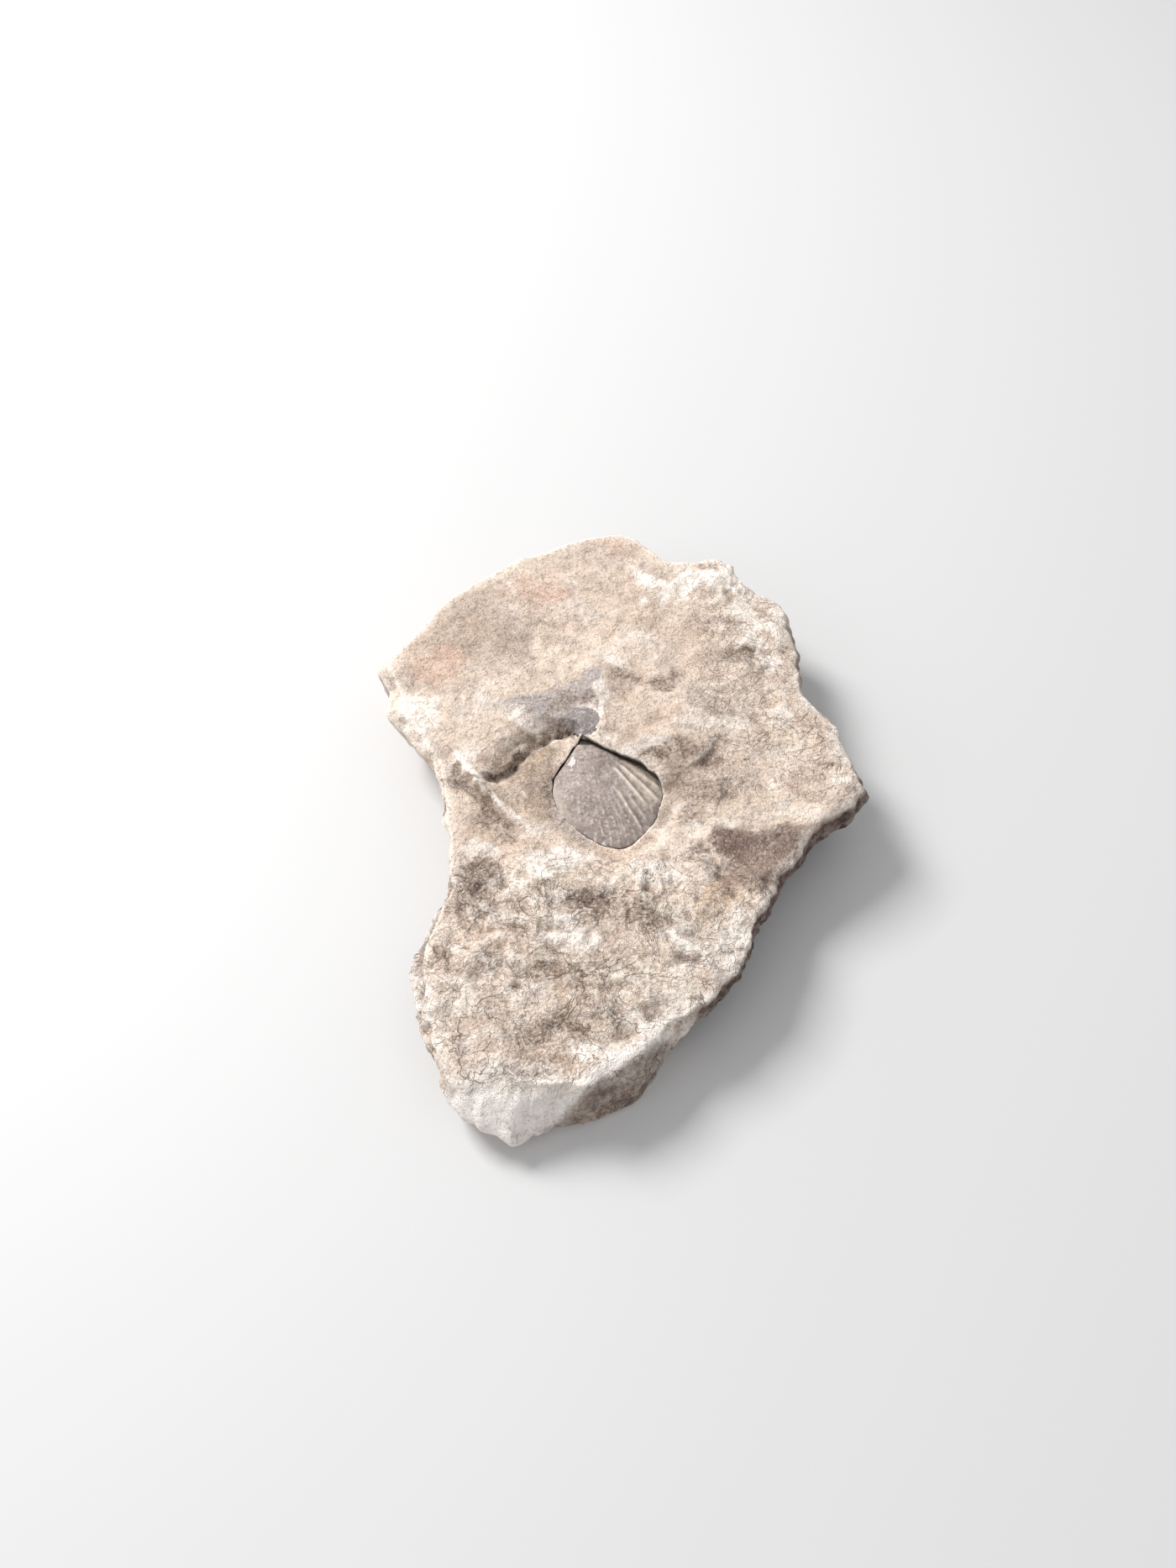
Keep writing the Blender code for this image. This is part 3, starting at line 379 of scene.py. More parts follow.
def lattice(ix, iy, iz, seed):
    """A fixed irregular value in -1..1 for each whole-number point: a hash of 32 bits."""
    mixed = sum(number * prime for number, prime in zip((ix, iy, iz, seed), PRIMES)) & WORD
    mixed = ((mixed ^ (mixed >> 13)) * PRIMES[3]) & WORD
    mixed = mixed ^ (mixed >> 16)
    return mixed / (0.5 * WORD) - 1.0


def noise(points, size, seed):
    """Lattice values blended between the eight corners of each cell of the given size."""
    scaled = points / size
    low = np.floor(scaled).astype(np.int64)
    part = scaled - low
    part = part * part * part * (part * (part * 6.0 - 15.0) + 10.0)
    total = np.zeros(len(points))
    for corner in range(8):
        step = np.array([corner & 1, (corner >> 1) & 1, corner >> 2])
        weight = np.prod(np.where(step, part, 1.0 - part), axis=1)
        at = low + step
        total += weight * lattice(at[:, 0], at[:, 1], at[:, 2], seed)
    return total


def roughness(points, size, layers, seed):
    """Noise in layers, each half as big and half as high as the one before."""
    return sum(noise(points, size * 0.5**k, seed + k) * 0.5**k for k in range(layers))


def scoops(points, size, seed):
    """Round scoops between sharp ridges: squared distance to the nearest of points, one a cell."""
    scaled = points / size
    low = np.floor(scaled).astype(np.int64)
    best = np.full(len(points), 9.0)
    for corner in range(27):
        at = low + np.array([corner % 3 - 1, (corner // 3) % 3 - 1, corner // 9 - 1])
        spot = at + 0.5 + 0.42 * np.stack([lattice(*at.T, seed + k) for k in range(3)], 1)
        best = np.minimum(best, ((scaled - spot) ** 2).sum(axis=1))
    return np.minimum(best, 1.0)


def closed_curve(table, count):
    """A smooth closed curve through the rows of a table, sampled evenly by its length in x and y."""
    table = np.array(table, float)
    before, after, next_after = np.roll(table, 1, 0), np.roll(table, -1, 0), np.roll(table, -2, 0)
    pieces = []
    for t in np.linspace(0.0, 1.0, 12, endpoint=False):
        bend = 0.5 * (2 * table + (after - before) * t
                      + (2 * before - 5 * table + 4 * after - next_after) * t**2
                      + (3 * table - before - 3 * after + next_after) * t**3)
        straight = table + (after - table) * t
        pieces.append(0.6 * bend + 0.4 * straight)
    fine = np.stack(pieces, 1).reshape(-1, table.shape[1])
    fine = np.vstack([fine, fine[:1]])
    length = np.concatenate([[0.0], np.cumsum(np.hypot(*np.diff(fine[:, :2], axis=0).T))])
    at = np.linspace(0.0, length[-1], count, endpoint=False)
    return np.stack([np.interp(at, length, column) for column in fine.T], 1)


def path_distance(x, y, path):
    """Distance to a path, positive on its right-hand side, and its other columns at the nearest point."""
    best = np.full(x.shape, 1e9)
    signed = np.zeros(x.shape)
    values = [np.zeros(x.shape) for _ in path[0][2:]]
    for a, b in zip(np.array(path), np.array(path[1:])):
        ux, uy = b[:2] - a[:2]
        t = np.clip(((x - a[0]) * ux + (y - a[1]) * uy) / (ux * ux + uy * uy), 0.0, 1.0)
        dx, dy = x - a[0] - t * ux, y - a[1] - t * uy
        distance = np.hypot(dx, dy)
        nearer = distance < best
        best = np.where(nearer, distance, best)
        signed = np.where(nearer, distance * np.sign(dx * uy - dy * ux), signed)
        for value, start, end in zip(values, a[2:], b[2:]):
            value[nearer] = (start + (end - start) * t)[nearer]
    return (signed, *values)


def top_height(x, y):
    """Height of the upper face: a level that falls to the toe, with lumps, facets and breaks.

    Each lump adds its height times a bell curve over its radii. Each path adds its height times a
    curve of the distance from it: an S curve for a fall, a bell for a ridge or a crack, and for a
    crest or a crease a narrow bell on its right and a slow fade on its left.
    """
    z = TOP_LEVEL - TOE_DROP * smooth((-8.0 - y) / 28.0)
    z = z - 1.0 * smooth((-14.0 - x) / 12.0) * smooth((-6.0 - y) / 8.0)
    for cx, cy, rx, ry, height in LUMPS:
        z = z + height * np.exp(-0.5 * (((x - cx) / rx) ** 2 + ((y - cy) / ry) ** 2))

    # The broken step, with a groove at its foot, and the crest with lower stone to its right
    d, drop, run = path_distance(x, y, STEP)
    slope = np.clip(1.0 + d / run, 0.0, 1.0)
    fallen = SLOPE_SHARE * slope + FOOT_SHARE * smooth((d + 0.1) / 0.4)
    z = z - drop * fallen * np.exp(-np.maximum(d, 0.0) / 5.0)
    z = z - 0.35 * smooth(drop) * np.exp(-(((d - 0.30) / 0.28) ** 2))
    d, rise = path_distance(x, y, CREST)
    z = z + 0.7 * rise * np.where(d > 0.0, np.exp(-((d / 0.5) ** 2)), np.exp(d / 1.4))
    z = z - 1.2 * rise * smooth(d / 1.3) * np.exp(-np.maximum(d - 1.3, 0.0) / 4.5)

    # The short break, the facet, then ridges, creases and cracks
    d, drop = path_distance(x, y, BREAK)
    z = z - drop * smooth((d + 0.3) / 0.8) * np.exp(-np.abs(d) / 2.5)
    d, strength = path_distance(x, y, DIP)
    down = np.clip(0.7 * (x - DIP_CORNER[0]) - 0.7 * (y - DIP_CORNER[1]), 0.0, 12.0)
    z = z - strength * smooth((d + 1.0) / 4.0) * (0.45 + 0.21 * down)
    for path, width in RIDGES:
        d, rise = path_distance(x, y, path)
        z = z + rise * np.exp(-((d / width) ** 2))
    for path in CREASES:
        d, rise = path_distance(x, y, path)
        z = z + rise * np.where(d > 0.0, np.exp(-((d / 0.35) ** 2)), np.exp(d / 1.1))
    for path in CRACKS:
        d, depth = path_distance(x, y, path)
        z = z - depth * np.exp(-((d / 0.3) ** 2))
    return z


# ---------------------------------------------------------------- grids and faces

def ring_grid(cells):
    """Each point of a square grid as its ring, 0 in the middle to 1 outside, and its place on that."""
    line = np.linspace(-1.0, 1.0, cells + 1)
    a, b = np.meshgrid(line, line, indexing="ij")
    a, b = a.ravel(), b.ravel()
    ring = np.maximum(np.abs(a), np.abs(b))
    safe = np.where(ring > 0.0, ring, 1.0)
    right, left = (a >= np.abs(b)), (-a >= np.abs(b))
    far_or_near = np.where(b > 0, 2.0 - a / safe, 6.0 + a / safe)
    place = np.where(right, b / safe, np.where(left, 4.0 - b / safe, far_or_near))
    return ring, np.mod(place, 8.0) / 8.0


def grid_faces(cells):
    """Square faces of a grid, facing up."""
    index = np.arange((cells + 1) ** 2).reshape(cells + 1, cells + 1)
    return np.stack([index[:-1, :-1], index[1:, :-1], index[1:, 1:], index[:-1, 1:]], -1).reshape(-1, 4)


def grid_border(cells):
    """Indices round the border of a grid, anticlockwise from the middle of its right side."""
    index = np.arange((cells + 1) ** 2).reshape(cells + 1, cells + 1)
    half = cells // 2
    return np.concatenate([index[-1, half:-1], index[:0:-1, -1], index[0, :0:-1], index[:-1, 0],
                           index[-1, :half]])


def band_faces(lower, upper):
    """Faces between two closed loops of equal length, facing out of an anticlockwise loop."""
    return np.stack([lower, np.roll(lower, -1), np.roll(upper, -1), upper], 1)


def stitch_faces(lower, upper):
    """Triangles between a loop and one above it with twice as many points."""
    even, odd = upper[0::2], upper[1::2]
    after = np.roll(lower, -1)
    return np.vstack([np.stack(three, 1) for three in
                      ((lower, odd, even), (lower, after, odd), (after, np.roll(even, -1), odd))])


def at_place(loop, place):
    """Rows of a closed loop at fractional places 0..1 round it."""
    count = len(loop)
    at = place * count
    low = np.floor(at).astype(int) % count
    part = (at - np.floor(at))[:, None]
    return loop[low] * (1.0 - part) + loop[(low + 1) % count] * part


def mesh_edges(faces):
    """Pairs of neighbouring points of a mesh given as lists of faces of equal length."""
    pairs = np.vstack([np.stack([group, np.roll(group, -1, 1)], -1).reshape(-1, 2) for group in faces])
    return np.unique(np.sort(pairs, axis=1), axis=0)


def mesh_normals(points, faces):
    """Unit normal at each point: the sum of the normals of the faces that meet there."""
    normals = np.zeros_like(points)
    for group in faces:
        first, second, last = (points[group[:, k]] - points[group[:, 0]] for k in (1, 2, -1))
        face_normal = np.cross(first, second) + (np.cross(second, last) if group.shape[1] == 4 else 0.0)
        for column in group.T:
            for axis in range(3):
                normals[:, axis] += np.bincount(column, face_normal[:, axis], len(points))
    return normals / np.maximum(np.linalg.norm(normals, axis=1), 1e-12)[:, None]


def averaged(values, edges, times):
    """Values at the points of a mesh after they are blended with their neighbours' a number of times."""
    count = np.bincount(edges.ravel(), minlength=len(values))
    values = values.copy()
    for _ in range(times):
        for axis in range(values.shape[1]):
            column = values[:, axis]
            total = np.bincount(edges[:, 0], column[edges[:, 1]], len(values))
            total += np.bincount(edges[:, 1], column[edges[:, 0]], len(values))
            values[:, axis] = 0.5 * column + 0.5 * total / count
    return values


def relief(points, normals, edges, times):
    """How far each point stands out of the averaged surface, along its normal."""
    return ((points - averaged(points, edges, times)) * normals).sum(axis=1)


# ---------------------------------------------------------------- the valve and its seat

def valve_xy(reach, angle):
    """Plan position at a distance from the beak and an angle in degrees to the right of the axis."""
    axis = np.array(AXIS) / np.hypot(*AXIS)
    side = np.array([-axis[1], axis[0]])
    a = np.radians(angle)[..., None]
    return np.array(BEAK) + reach[..., None] * (np.cos(a) * axis + np.sin(a) * side)


def valve_reach(angle):
    """Distance from the beak to the margin, averaged over three degrees either side."""
    return sum(np.interp(angle + turn, VALVE_ANGLES, VALVE_REACH) for turn in (-3.0, 0.0, 3.0)) / 3.0


def valve_margin(reach, angle):
    """Height of the level through the valve's margin, which falls to the front and the right."""
    along = reach * np.cos(np.radians(angle))
    side = reach * np.sin(np.radians(angle))
    return MARGIN_HEIGHT - 0.03 * along - 0.04 * side


def valve_dome(t, angle, reach):
    """Fullness of the valve, 0 at its margin and sides to 1 in the middle."""
    across = np.abs(angle) / (0.5 * VALVE_SPAN)
    across = np.minimum(across, 1.0)
    return (1.0 - t**2.6) ** 0.85 * (1.0 - across**2.6) ** 0.7 * np.minimum(reach / 4.5, 1.0) ** 0.9


def valve_polar(x, y):
    """Distance from the beak and angle to the right of the axis, of points in plan."""
    axis = np.array(AXIS) / np.hypot(*AXIS)
    dx, dy = x - BEAK[0], y - BEAK[1]
    along, side = dx * axis[0] + dy * axis[1], -dx * axis[1] + dy * axis[0]
    return np.hypot(along, side), np.degrees(np.arctan2(side, along))


def valve_outline(angle):
    """Distance from HEART to the valve's margin in the given directions, in degrees."""
    fan = np.linspace(-0.5, 0.5, 181) * VALVE_SPAN
    rim = valve_xy(valve_reach(fan), fan)
    side = np.linspace(0.0, 1.0, 40, endpoint=False)[1:, None]
    beak = np.array(BEAK)
    loop = np.vstack([rim, rim[-1] + (beak - rim[-1]) * side, [beak], beak + (rim[0] - beak) * side])
    away = loop - np.array(HEART)
    turn = np.degrees(np.arctan2(away[:, 1], away[:, 0])) % 360.0
    order = np.argsort(turn)
    return np.interp(angle % 360.0, turn[order], np.hypot(*away[order].T), period=360.0)


def gap_at(angle):
    """Space between stone and valve in the given directions about HEART."""
    turn, gap = np.array(GAP).T
    return np.interp(angle % 360.0, turn, gap)


# ---------------------------------------------------------------- the slab

def roughen(points, keep):
    """Moves every point by a smooth irregular field, which leaves the resting face flat.

    The side is chipped inwards and outwards too, less so at the back left, where it is straight.
    """
    free = smooth(points[:, 2] / 2.5)
    shift = [amount * roughness(points, 8.0, 3, 11 + 20 * k)
             for k, amount in enumerate((0.42, 0.42, 0.40))]
    chips = 0.7 * np.abs(noise(points, 4.6, 91)) + 0.5 * np.abs(noise(points, 2.4, 95)) - 0.35
    back_left = smooth((points[:, 1] - points[:, 0] - 25.0) / 20.0)
    chips = chips * (1.0 - 0.65 * back_left)
    side = smooth((np.hypot(points[:, 0] - HEART[0], (points[:, 1] - HEART[1]) * 0.7) - 15.0) / 8.0)
    away = points[:, :2] - np.array(HEART)
    away = away / np.maximum(np.hypot(*away.T), 1.0)[:, None]
    moved = points + np.stack(shift, 1) * (free * keep)[:, None]
    moved[:, :2] += away * (chips * side * free)[:, None]
    return moved


def towards_heart(loop, amount):
    """Points of the outline in plan, moved towards HEART by the given amounts."""
    away = loop[:, :2] - np.array(HEART)
    return np.array(HEART) + away * (1.0 - amount / np.hypot(*away.T))[:, None]


def broken_side(loop, rim, terrace):
    """Rows of points between the rim and the foot, evenly spaced along the side's profile.

    The first stations lead from the rim out to the widest line, and on the left terrace they stay
    higher and further in. SIDE_PROFILE gives the others down to the foot.
    """
    fall = 0.30 + 0.35 * terrace
    stations = [rim,
                np.column_stack([towards_heart(loop, (0.55 + 0.30 * terrace) * loop[:, 3]),
                                 fall * loop[:, 2] + (1.0 - fall) * rim[:, 2]]),
                loop[:, :3]]
    for inward, part in SIDE_PROFILE:
        stations.append(np.column_stack([towards_heart(loop, inward * loop[:, 4]), part * loop[:, 2]]))
    stations = np.stack(stations)
    at = np.linspace(0.0, len(stations) - 1.0, SIDE_ROWS + 2)[1:-1]
    before = np.floor(at).astype(int)
    part = (at - before)[:, None, None]
    return stations[before] * (1.0 - part) + stations[before + 1] * part


def resting_face(loop, cells):
    """The base as a ring grid inside the foot: flat near its edge, with shallow hollows further in."""
    heart = np.array(HEART)
    ring, place = ring_grid(cells)
    rows = at_place(loop, place)
    reach = np.hypot(*(rows[:, :2] - heart).T)
    foot = 1.0 - rows[:, 4] / reach
    xy = heart + (rows[:, :2] - heart) * (ring * foot)[:, None]
    flat = np.column_stack([xy, np.zeros(len(xy))])
    hollows = np.maximum(roughness(flat, 14.0, 3, 71) - 0.3, 0.0) * 1.1
    within = (1.0 - ring) * reach
    return np.column_stack([xy, hollows * smooth(within / 3.0) + 0.35 * np.exp(-within / 1.0)])


def facing_right(loop):
    """One where the outline faces the lower right, the rusty side that also gets painted shade, else 0.
    """
    tangent = np.roll(loop[:, :2], -20, 0) - np.roll(loop[:, :2], 20, 0)
    outward = np.stack([tangent[:, 1], -tangent[:, 0]], 1) / np.hypot(*tangent.T)[:, None]
    return smooth((0.75 * outward[:, 0] - 0.66 * outward[:, 1] - 0.45) / 0.4)


def slab_mesh(settings):
    """The slab as one closed surface over a square grid, each square ring of which is a closed line.

    Inner rings are the valve's seat: from the opening's lip down an undercut profile, under the
    valve's edge and in to HEART. Outer rings run from the opening to the rim along straight rays,
    with height from top_height. The side follows a profile from rim to foot, and the base is flat
    with shallow hollows. Then noise in layers and scoops of broken stone move every point.
    """
    cells = SLAB_CELLS
    rings = cells // 2
    border = grid_border(cells)
    loop = closed_curve(SLAB, len(border))
    heart = np.array(HEART)
    ring, place = ring_grid(cells)
    rows = at_place(loop, place)
    away = rows[:, :2] - heart
    row_reach = np.hypot(*away.T)
    ray = away / row_reach[:, None]
    turn = np.degrees(np.arctan2(ray[:, 1], ray[:, 0]))
    gap = gap_at(turn)
    gap = gap + 0.10 * roughness(np.column_stack([ray * 7.3, 0.0 * ring]), 1.3, 3, 85)
    edge = valve_outline(turn)
    opening = edge + gap
    number = np.round(ring * rings)

    # Upper face, from the opening to the rim
    out = np.clip((number - OPENING_RING) / (rings - OPENING_RING), 0.0, 1.0)
    rim = row_reach - rows[:, 3]
    radius = opening + (rim - opening) * out
    xy = heart + ray * radius[:, None]
    inside = row_reach - radius - rows[:, 3]
    height = top_height(*xy.T) - RIM_WEAR * np.exp(-inside / RIM_WIDTH)
    lip = radius - opening
    margin = valve_margin(*valve_polar(*(heart + ray * edge[:, None]).T))
    fitted = margin + LIP_ABOVE_MARGIN + OVERHANG_RISE * smooth(-gap / 0.5)
    at_opening = np.column_stack([heart + ray * opening[:, None], 0.0 * ring])
    fitted += 0.10 * roughness(at_opening, 1.5, 3, 81)
    height = fitted + (height - fitted) * smooth(lip / LIP_REACH)

    # Seat: outward shift and height below the lip, ring by ring inwards
    depth = OPENING_RING - number
    hidden = np.maximum(-gap, 0.0)
    steps = np.arange(len(SEAT_SINK))
    last = steps[-1]
    sink = np.interp(depth, steps, SEAT_SINK)
    undercut = np.interp(depth, steps, SEAT_UNDERCUT) * (hidden + 0.12 * (hidden > 0.0))
    floor_part = np.clip((OPENING_RING - last - number) / (OPENING_RING - last), 0.0, 1.0)
    seat_radius = (opening + undercut) * (1.0 - floor_part)
    seat_xy = heart + ray * seat_radius[:, None]
    reach, angle = valve_polar(*seat_xy.T)
    angle = np.clip(angle, -0.5 * VALVE_SPAN, 0.5 * VALVE_SPAN)
    full = valve_dome(np.clip(reach / valve_reach(angle), 0.0, 1.0), angle, reach)
    low = margin - MARGIN_EDGE - UNDER_EDGE
    seat_low = low - (VALVE_BELOW + UNDER_MIDDLE) * full * smooth(floor_part * 6.0)
    seat_height = np.where(depth >= last, seat_low, fitted + (low - fitted) * sink)
    in_seat = depth > 0
    xy = np.where(in_seat[:, None], seat_xy, xy)
    height = np.where(in_seat, seat_height, height)
    past_umbo = path_distance(*xy.T, UMBO + UMBO[:1])[0]
    by_umbo = np.hypot(xy[:, 0] - UMBO_MIDDLE[0], xy[:, 1] - UMBO_MIDDLE[1]) < UMBO_NEAR
    height = height - UMBO_SEAT * smooth((-0.10 - past_umbo) / 0.35) * (by_umbo & ~in_seat)
    top = np.column_stack([xy, height])

    # Side and resting face
    terrace = smooth((-18.0 - loop[:, 0]) / 3.0)
    terrace = terrace * smooth((loop[:, 1] + 27.0) / 4.0) * smooth((-9.0 - loop[:, 1]) / 2.0)
    side = broken_side(loop, top[border], terrace)
    base = resting_face(loop, rings)
    points = np.vstack([top, side.reshape(-1, 3), base])
    start = len(top)
    base_start = start + SIDE_ROWS * len(border)
    loops = [border] + [start + k * len(border) + np.arange(len(border)) for k in range(SIDE_ROWS)]
    quads = [grid_faces(cells), *(band_faces(below, above) for above, below in zip(loops, loops[1:])),
             grid_faces(rings)[:, ::-1] + base_start]
    faces = [np.vstack(quads), stitch_faces(base_start + grid_border(rings), loops[-1])]

    # Zones for the materials, and irregular relief, less of it round the valve
    far = np.ones(len(points))
    far[:start] = np.where(in_seat, 0.0, smooth(lip / 1.3))
    names = ("seat_shade", "rim_near", "cliff", "side_rust_and_shade", "side_grey")
    zones = dict(zip(names, np.zeros((len(names), len(points)))))
    # Painted shade: the valve's seat, under the stone's overhang, is darkened
    zones["seat_shade"][:start] = smooth(depth / 1.2)
    # Painted highlight along the rim, where the worn edge rolls over
    zones["rim_near"][:start] = np.exp(-np.maximum(inside, 0.0) / 0.45)
    zones["rim_near"][start:start + len(border)] = 0.9
    row = np.arange(SIDE_ROWS)[:, None]
    # Painted shade on the side that faces the lower right, over its reddish brown colour
    zones["side_rust_and_shade"][start:base_start] = (smooth((row - 0.4) / 1.6) * facing_right(loop)).ravel()
    zones["side_grey"][start:base_start] = (smooth((row - 1.2) / 1.5) * terrace).ravel()
    d, drop, run = path_distance(*points[:start, :2].T, STEP)
    # The cliff zone also gives the step's face painted shade
    zones["cliff"][:start] = smooth((d + 0.6 * run) / 0.8) * smooth((1.2 - d) / 0.8) * smooth(drop / 1.2)
    points = broken_stone(roughen(points, far), faces, far, zones["cliff"], settings)
    return points, faces, zones


def coarseness(x, y):
    """How broken the upper face is: more at the toe and the right, little at the back and the facet."""
    at_right = smooth((x - 8.0) / 6.0) * smooth((y - 1.0) / 4.0)
    on_facet = np.exp(-(((x - 15.5) / 4.5) ** 2 + ((y + 5.5) / 4.0) ** 2))
    return (0.18 + 0.70 * smooth((-3.0 - y) / 6.0) + 0.55 * at_right) * (1.0 - 0.6 * on_facet)


def broken_stone(points, faces, far, cliff, settings):
    """Moves points along their normals: shallow scoops and fine pits on top, deep chips on the side."""
    normals = mesh_normals(points, faces)
    steep = 1.0 - smooth((normals[:, 2] - 0.35) / 0.45)
    above = smooth(points[:, 2] / 1.6)
    near = 0.4 + 0.6 * smooth(far)
    worn = settings.weathering / MM
    chips = settings.side_chips / MM
    wide, mid = scoops(points, 4.2, 31), scoops(points, 1.9, 137)
    zone = coarseness(points[:, 0], points[:, 1])
    patchy = zone * (0.4 + 1.2 * smooth(0.5 + 1.2 * roughness(points, 9.0, 2, 45)))
    ridged = 0.5 - np.abs(noise(points, 2.6, 71)) - 0.5 * np.abs(noise(points, 1.2, 73))
    push = worn * near * patchy * (0.8 * (wide - 0.35) + 0.7 * (mid - 0.35) + 1.3 * ridged)
    push += worn * near * (0.25 + 0.5 * patchy) * roughness(points, 1.2, 2, 51)
    push += worn * cliff * (1.8 * (mid - 0.35) + 1.6 * roughness(points, 1.6, 2, 55))
    broken = 1.6 * (wide - 0.3) + 0.8 * (mid - 0.3) + 0.5 * roughness(points, 1.6, 3, 61)
    push += chips * steep * (1.0 - cliff) * broken
    return points + normals * (push * above * (far > 0.0))[:, None]


def stains(points, open_up):
    """Strength of each kind of stain at each point: soft spots whose edges are broken up by noise."""
    ragged = roughness(points, 3.0, 4, 201)
    drift = np.stack([roughness(points, 4.0, 3, 221), roughness(points, 4.0, 3, 231)], 1)
    x, y = (points[:, :2] + 1.3 * drift).T
    found = {}
    for kind, spots in STAINS.items():
        total = np.zeros(len(points))
        for cx, cy, rx, ry, strength in spots:
            d = np.sqrt(((x - cx) / rx) ** 2 + ((y - cy) / ry) ** 2)
            total = np.maximum(total, 1.15 * strength * smooth((1.50 + 0.55 * ragged - d) / 0.9))
        found[kind] = total
    x, y = (points[:, :2] + 0.35 * drift).T
    for kind, half_width, strength, path in STREAKS:
        d = np.abs(path_distance(x, y, path)[0])
        streak = strength * smooth((1.5 + 0.6 * ragged - d / half_width) / 1.3)
        found[kind] = np.maximum(found[kind], streak)
    return {kind: total * open_up for kind, total in found.items()}


# ---------------------------------------------------------------- the shell pieces

def valve_mesh(settings):
    """The valve as a fan of rows from beak to margin and columns of equal angle.

    Height is the margin's level plus a dome, with a cosine for the ribs, doubled in number and
    finer towards the front, the stronger ribs of STRONG_RIBS, and faint growth rings.
    """
    rows, columns = VALVE_ROWS, VALVE_COLUMNS
    angle = np.linspace(-0.5, 0.5, columns + 1) * VALVE_SPAN
    part = np.linspace(0.0, 1.0, rows + 1)[1:]
    t, angle = np.meshgrid(part, angle, indexing="ij")
    reach = t * valve_reach(angle)
    side = reach * np.sin(np.radians(angle))
    flat = np.stack([side, reach * np.cos(np.radians(angle)), 0.0 * t], -1).reshape(-1, 3)
    uneven = roughness(flat, 3.0, 3, 301).reshape(t.shape)
    fine = roughness(flat, 0.7, 3, 311).reshape(t.shape)
    xy = valve_xy(reach, angle)
    margin = valve_margin(reach, angle)
    full = valve_dome(t, angle, reach)

    bent = angle + 0.8 * uneven
    worn = smooth((reach - 9.5 + 2.5 * uneven) / 5.0) * smooth((side + 6.5) / 4.0) * (0.8 + 0.5 * fine)
    worn = worn * (1.0 - 0.8 * smooth((angle - 11.0) / 5.0) * smooth((16.5 - reach) / 1.5))
    wave = np.radians((bent - RIB_PHASE) * 360.0 / settings.rib_spacing)
    wide_ribs, thin_ribs = 0.5 + 0.5 * np.cos(wave), 0.5 + 0.5 * np.cos(2.0 * wave)
    near_front = smooth((reach - 12.0) / 4.0)
    ribs = worn * (wide_ribs + 0.35 * thin_ribs * near_front - 0.6)
    ribs = ribs + 0.10 * smooth((reach - 3.0) / 4.0) * (wide_ribs - 0.5)
    height = settings.rib_height / MM * ribs
    crest = np.clip(worn * wide_ribs, 0.0, 1.0)
    # Plica and furrow mark the strong ribs and the trenches beside them, for painted highlight and shade
    plica, furrow = np.zeros((2, *t.shape))
    for rib_angle, start, end, rise, half_width in STRONG_RIBS:
        off = reach * np.radians(angle - rib_angle + 0.4 * uneven)
        run = smooth((reach - start) / 1.2) * smooth((end - reach) / 1.5)
        ridge = np.exp(-((off / half_width) ** 2)) * run
        trench = np.exp(-(((off - 2.0 * half_width) / half_width) ** 2)) * run
        height += rise * (ridge - 0.30 * trench)
        plica = np.maximum(plica, ridge * rise / 0.3)
        furrow = np.maximum(furrow, trench * rise / 0.3)
    rings = np.cos(2.0 * np.pi * (t * GROWTH_RINGS + 0.35 * uneven))
    height += settings.growth_rings / MM * smooth((reach - 5.0) / 5.0) * rings
    height += 0.045 * fine + 0.10 * uneven
    fade = smooth((1.0 - t) / 0.05)
    top = margin + settings.valve_rise / MM * full + height * (0.25 + 0.75 * fade)
    cx, cy, lean, half_width, half_length = CRUST
    dx, dy = xy[..., 0] - cx, xy[..., 1] - cy
    crust_off = np.hypot((dx - lean * dy) / half_width, dy / half_length)
    crust = smooth((1.1 + 0.45 * fine - crust_off) / 0.40)
    top += 0.15 * crust
    low = margin - MARGIN_EDGE - VALVE_BELOW * full
    upper = np.concatenate([xy, top[..., None]], -1).reshape(-1, 3)
    lower = np.concatenate([xy, low[..., None]], -1).reshape(-1, 3)
    points = np.vstack([upper, lower, [[*BEAK, MARGIN_HEIGHT]], [[*BEAK, MARGIN_HEIGHT - MARGIN_EDGE]]])

    soft_side = smooth((-angle - 18.0) / 8.0)
    stony = smooth((t - 0.74) / 0.24 + 0.4 * uneven) * soft_side * smooth((reach - 7.0) / 3.0)
    # Front margin, for painted shade along its edge
    margin_near = smooth((t - 0.90) / 0.10) * (1.0 - soft_side)
    shown = (crest, crust, margin_near, reach, side, plica, furrow, stony)
    hidden = np.zeros(t.size + 2)
    facts = {name: np.append(values, hidden) for name, values in zip(SHELL_FACTS, shown)}
    return points, valve_faces(rows, columns), facts


def valve_faces(rows, columns):
    """Faces of two fans of points, one over the other, closed by edges round the front and the sides."""
    index = np.arange(rows * (columns + 1)).reshape(rows, columns + 1)
    under = index + index.size
    pole_up, pole_down = 2 * index.size, 2 * index.size + 1
    quads = np.stack([index[:-1, :-1], index[1:, :-1], index[1:, 1:], index[:-1, 1:]], -1)
    quads = quads.reshape(-1, 4)
    front = np.stack([index[-1, :-1], under[-1, :-1], under[-1, 1:], index[-1, 1:]], 1)
    left = np.stack([index[:-1, 0], under[:-1, 0], under[1:, 0], index[1:, 0]], 1)
    right = np.stack([index[1:, -1], under[1:, -1], under[:-1, -1], index[:-1, -1]], 1)
    beak = np.array([[pole_up, pole_down, under[0, 0], index[0, 0]],
                     [index[0, -1], under[0, -1], pole_down, pole_up]])
    fan_up = np.stack([np.full(columns, pole_up), index[0, :-1], index[0, 1:]], 1)
    fan_down = np.stack([np.full(columns, pole_down), under[0, 1:], under[0, :-1]], 1)
    return [np.vstack([quads, quads[:, ::-1] + index.size, front, left, right, beak]),
            np.vstack([fan_up, fan_down])]


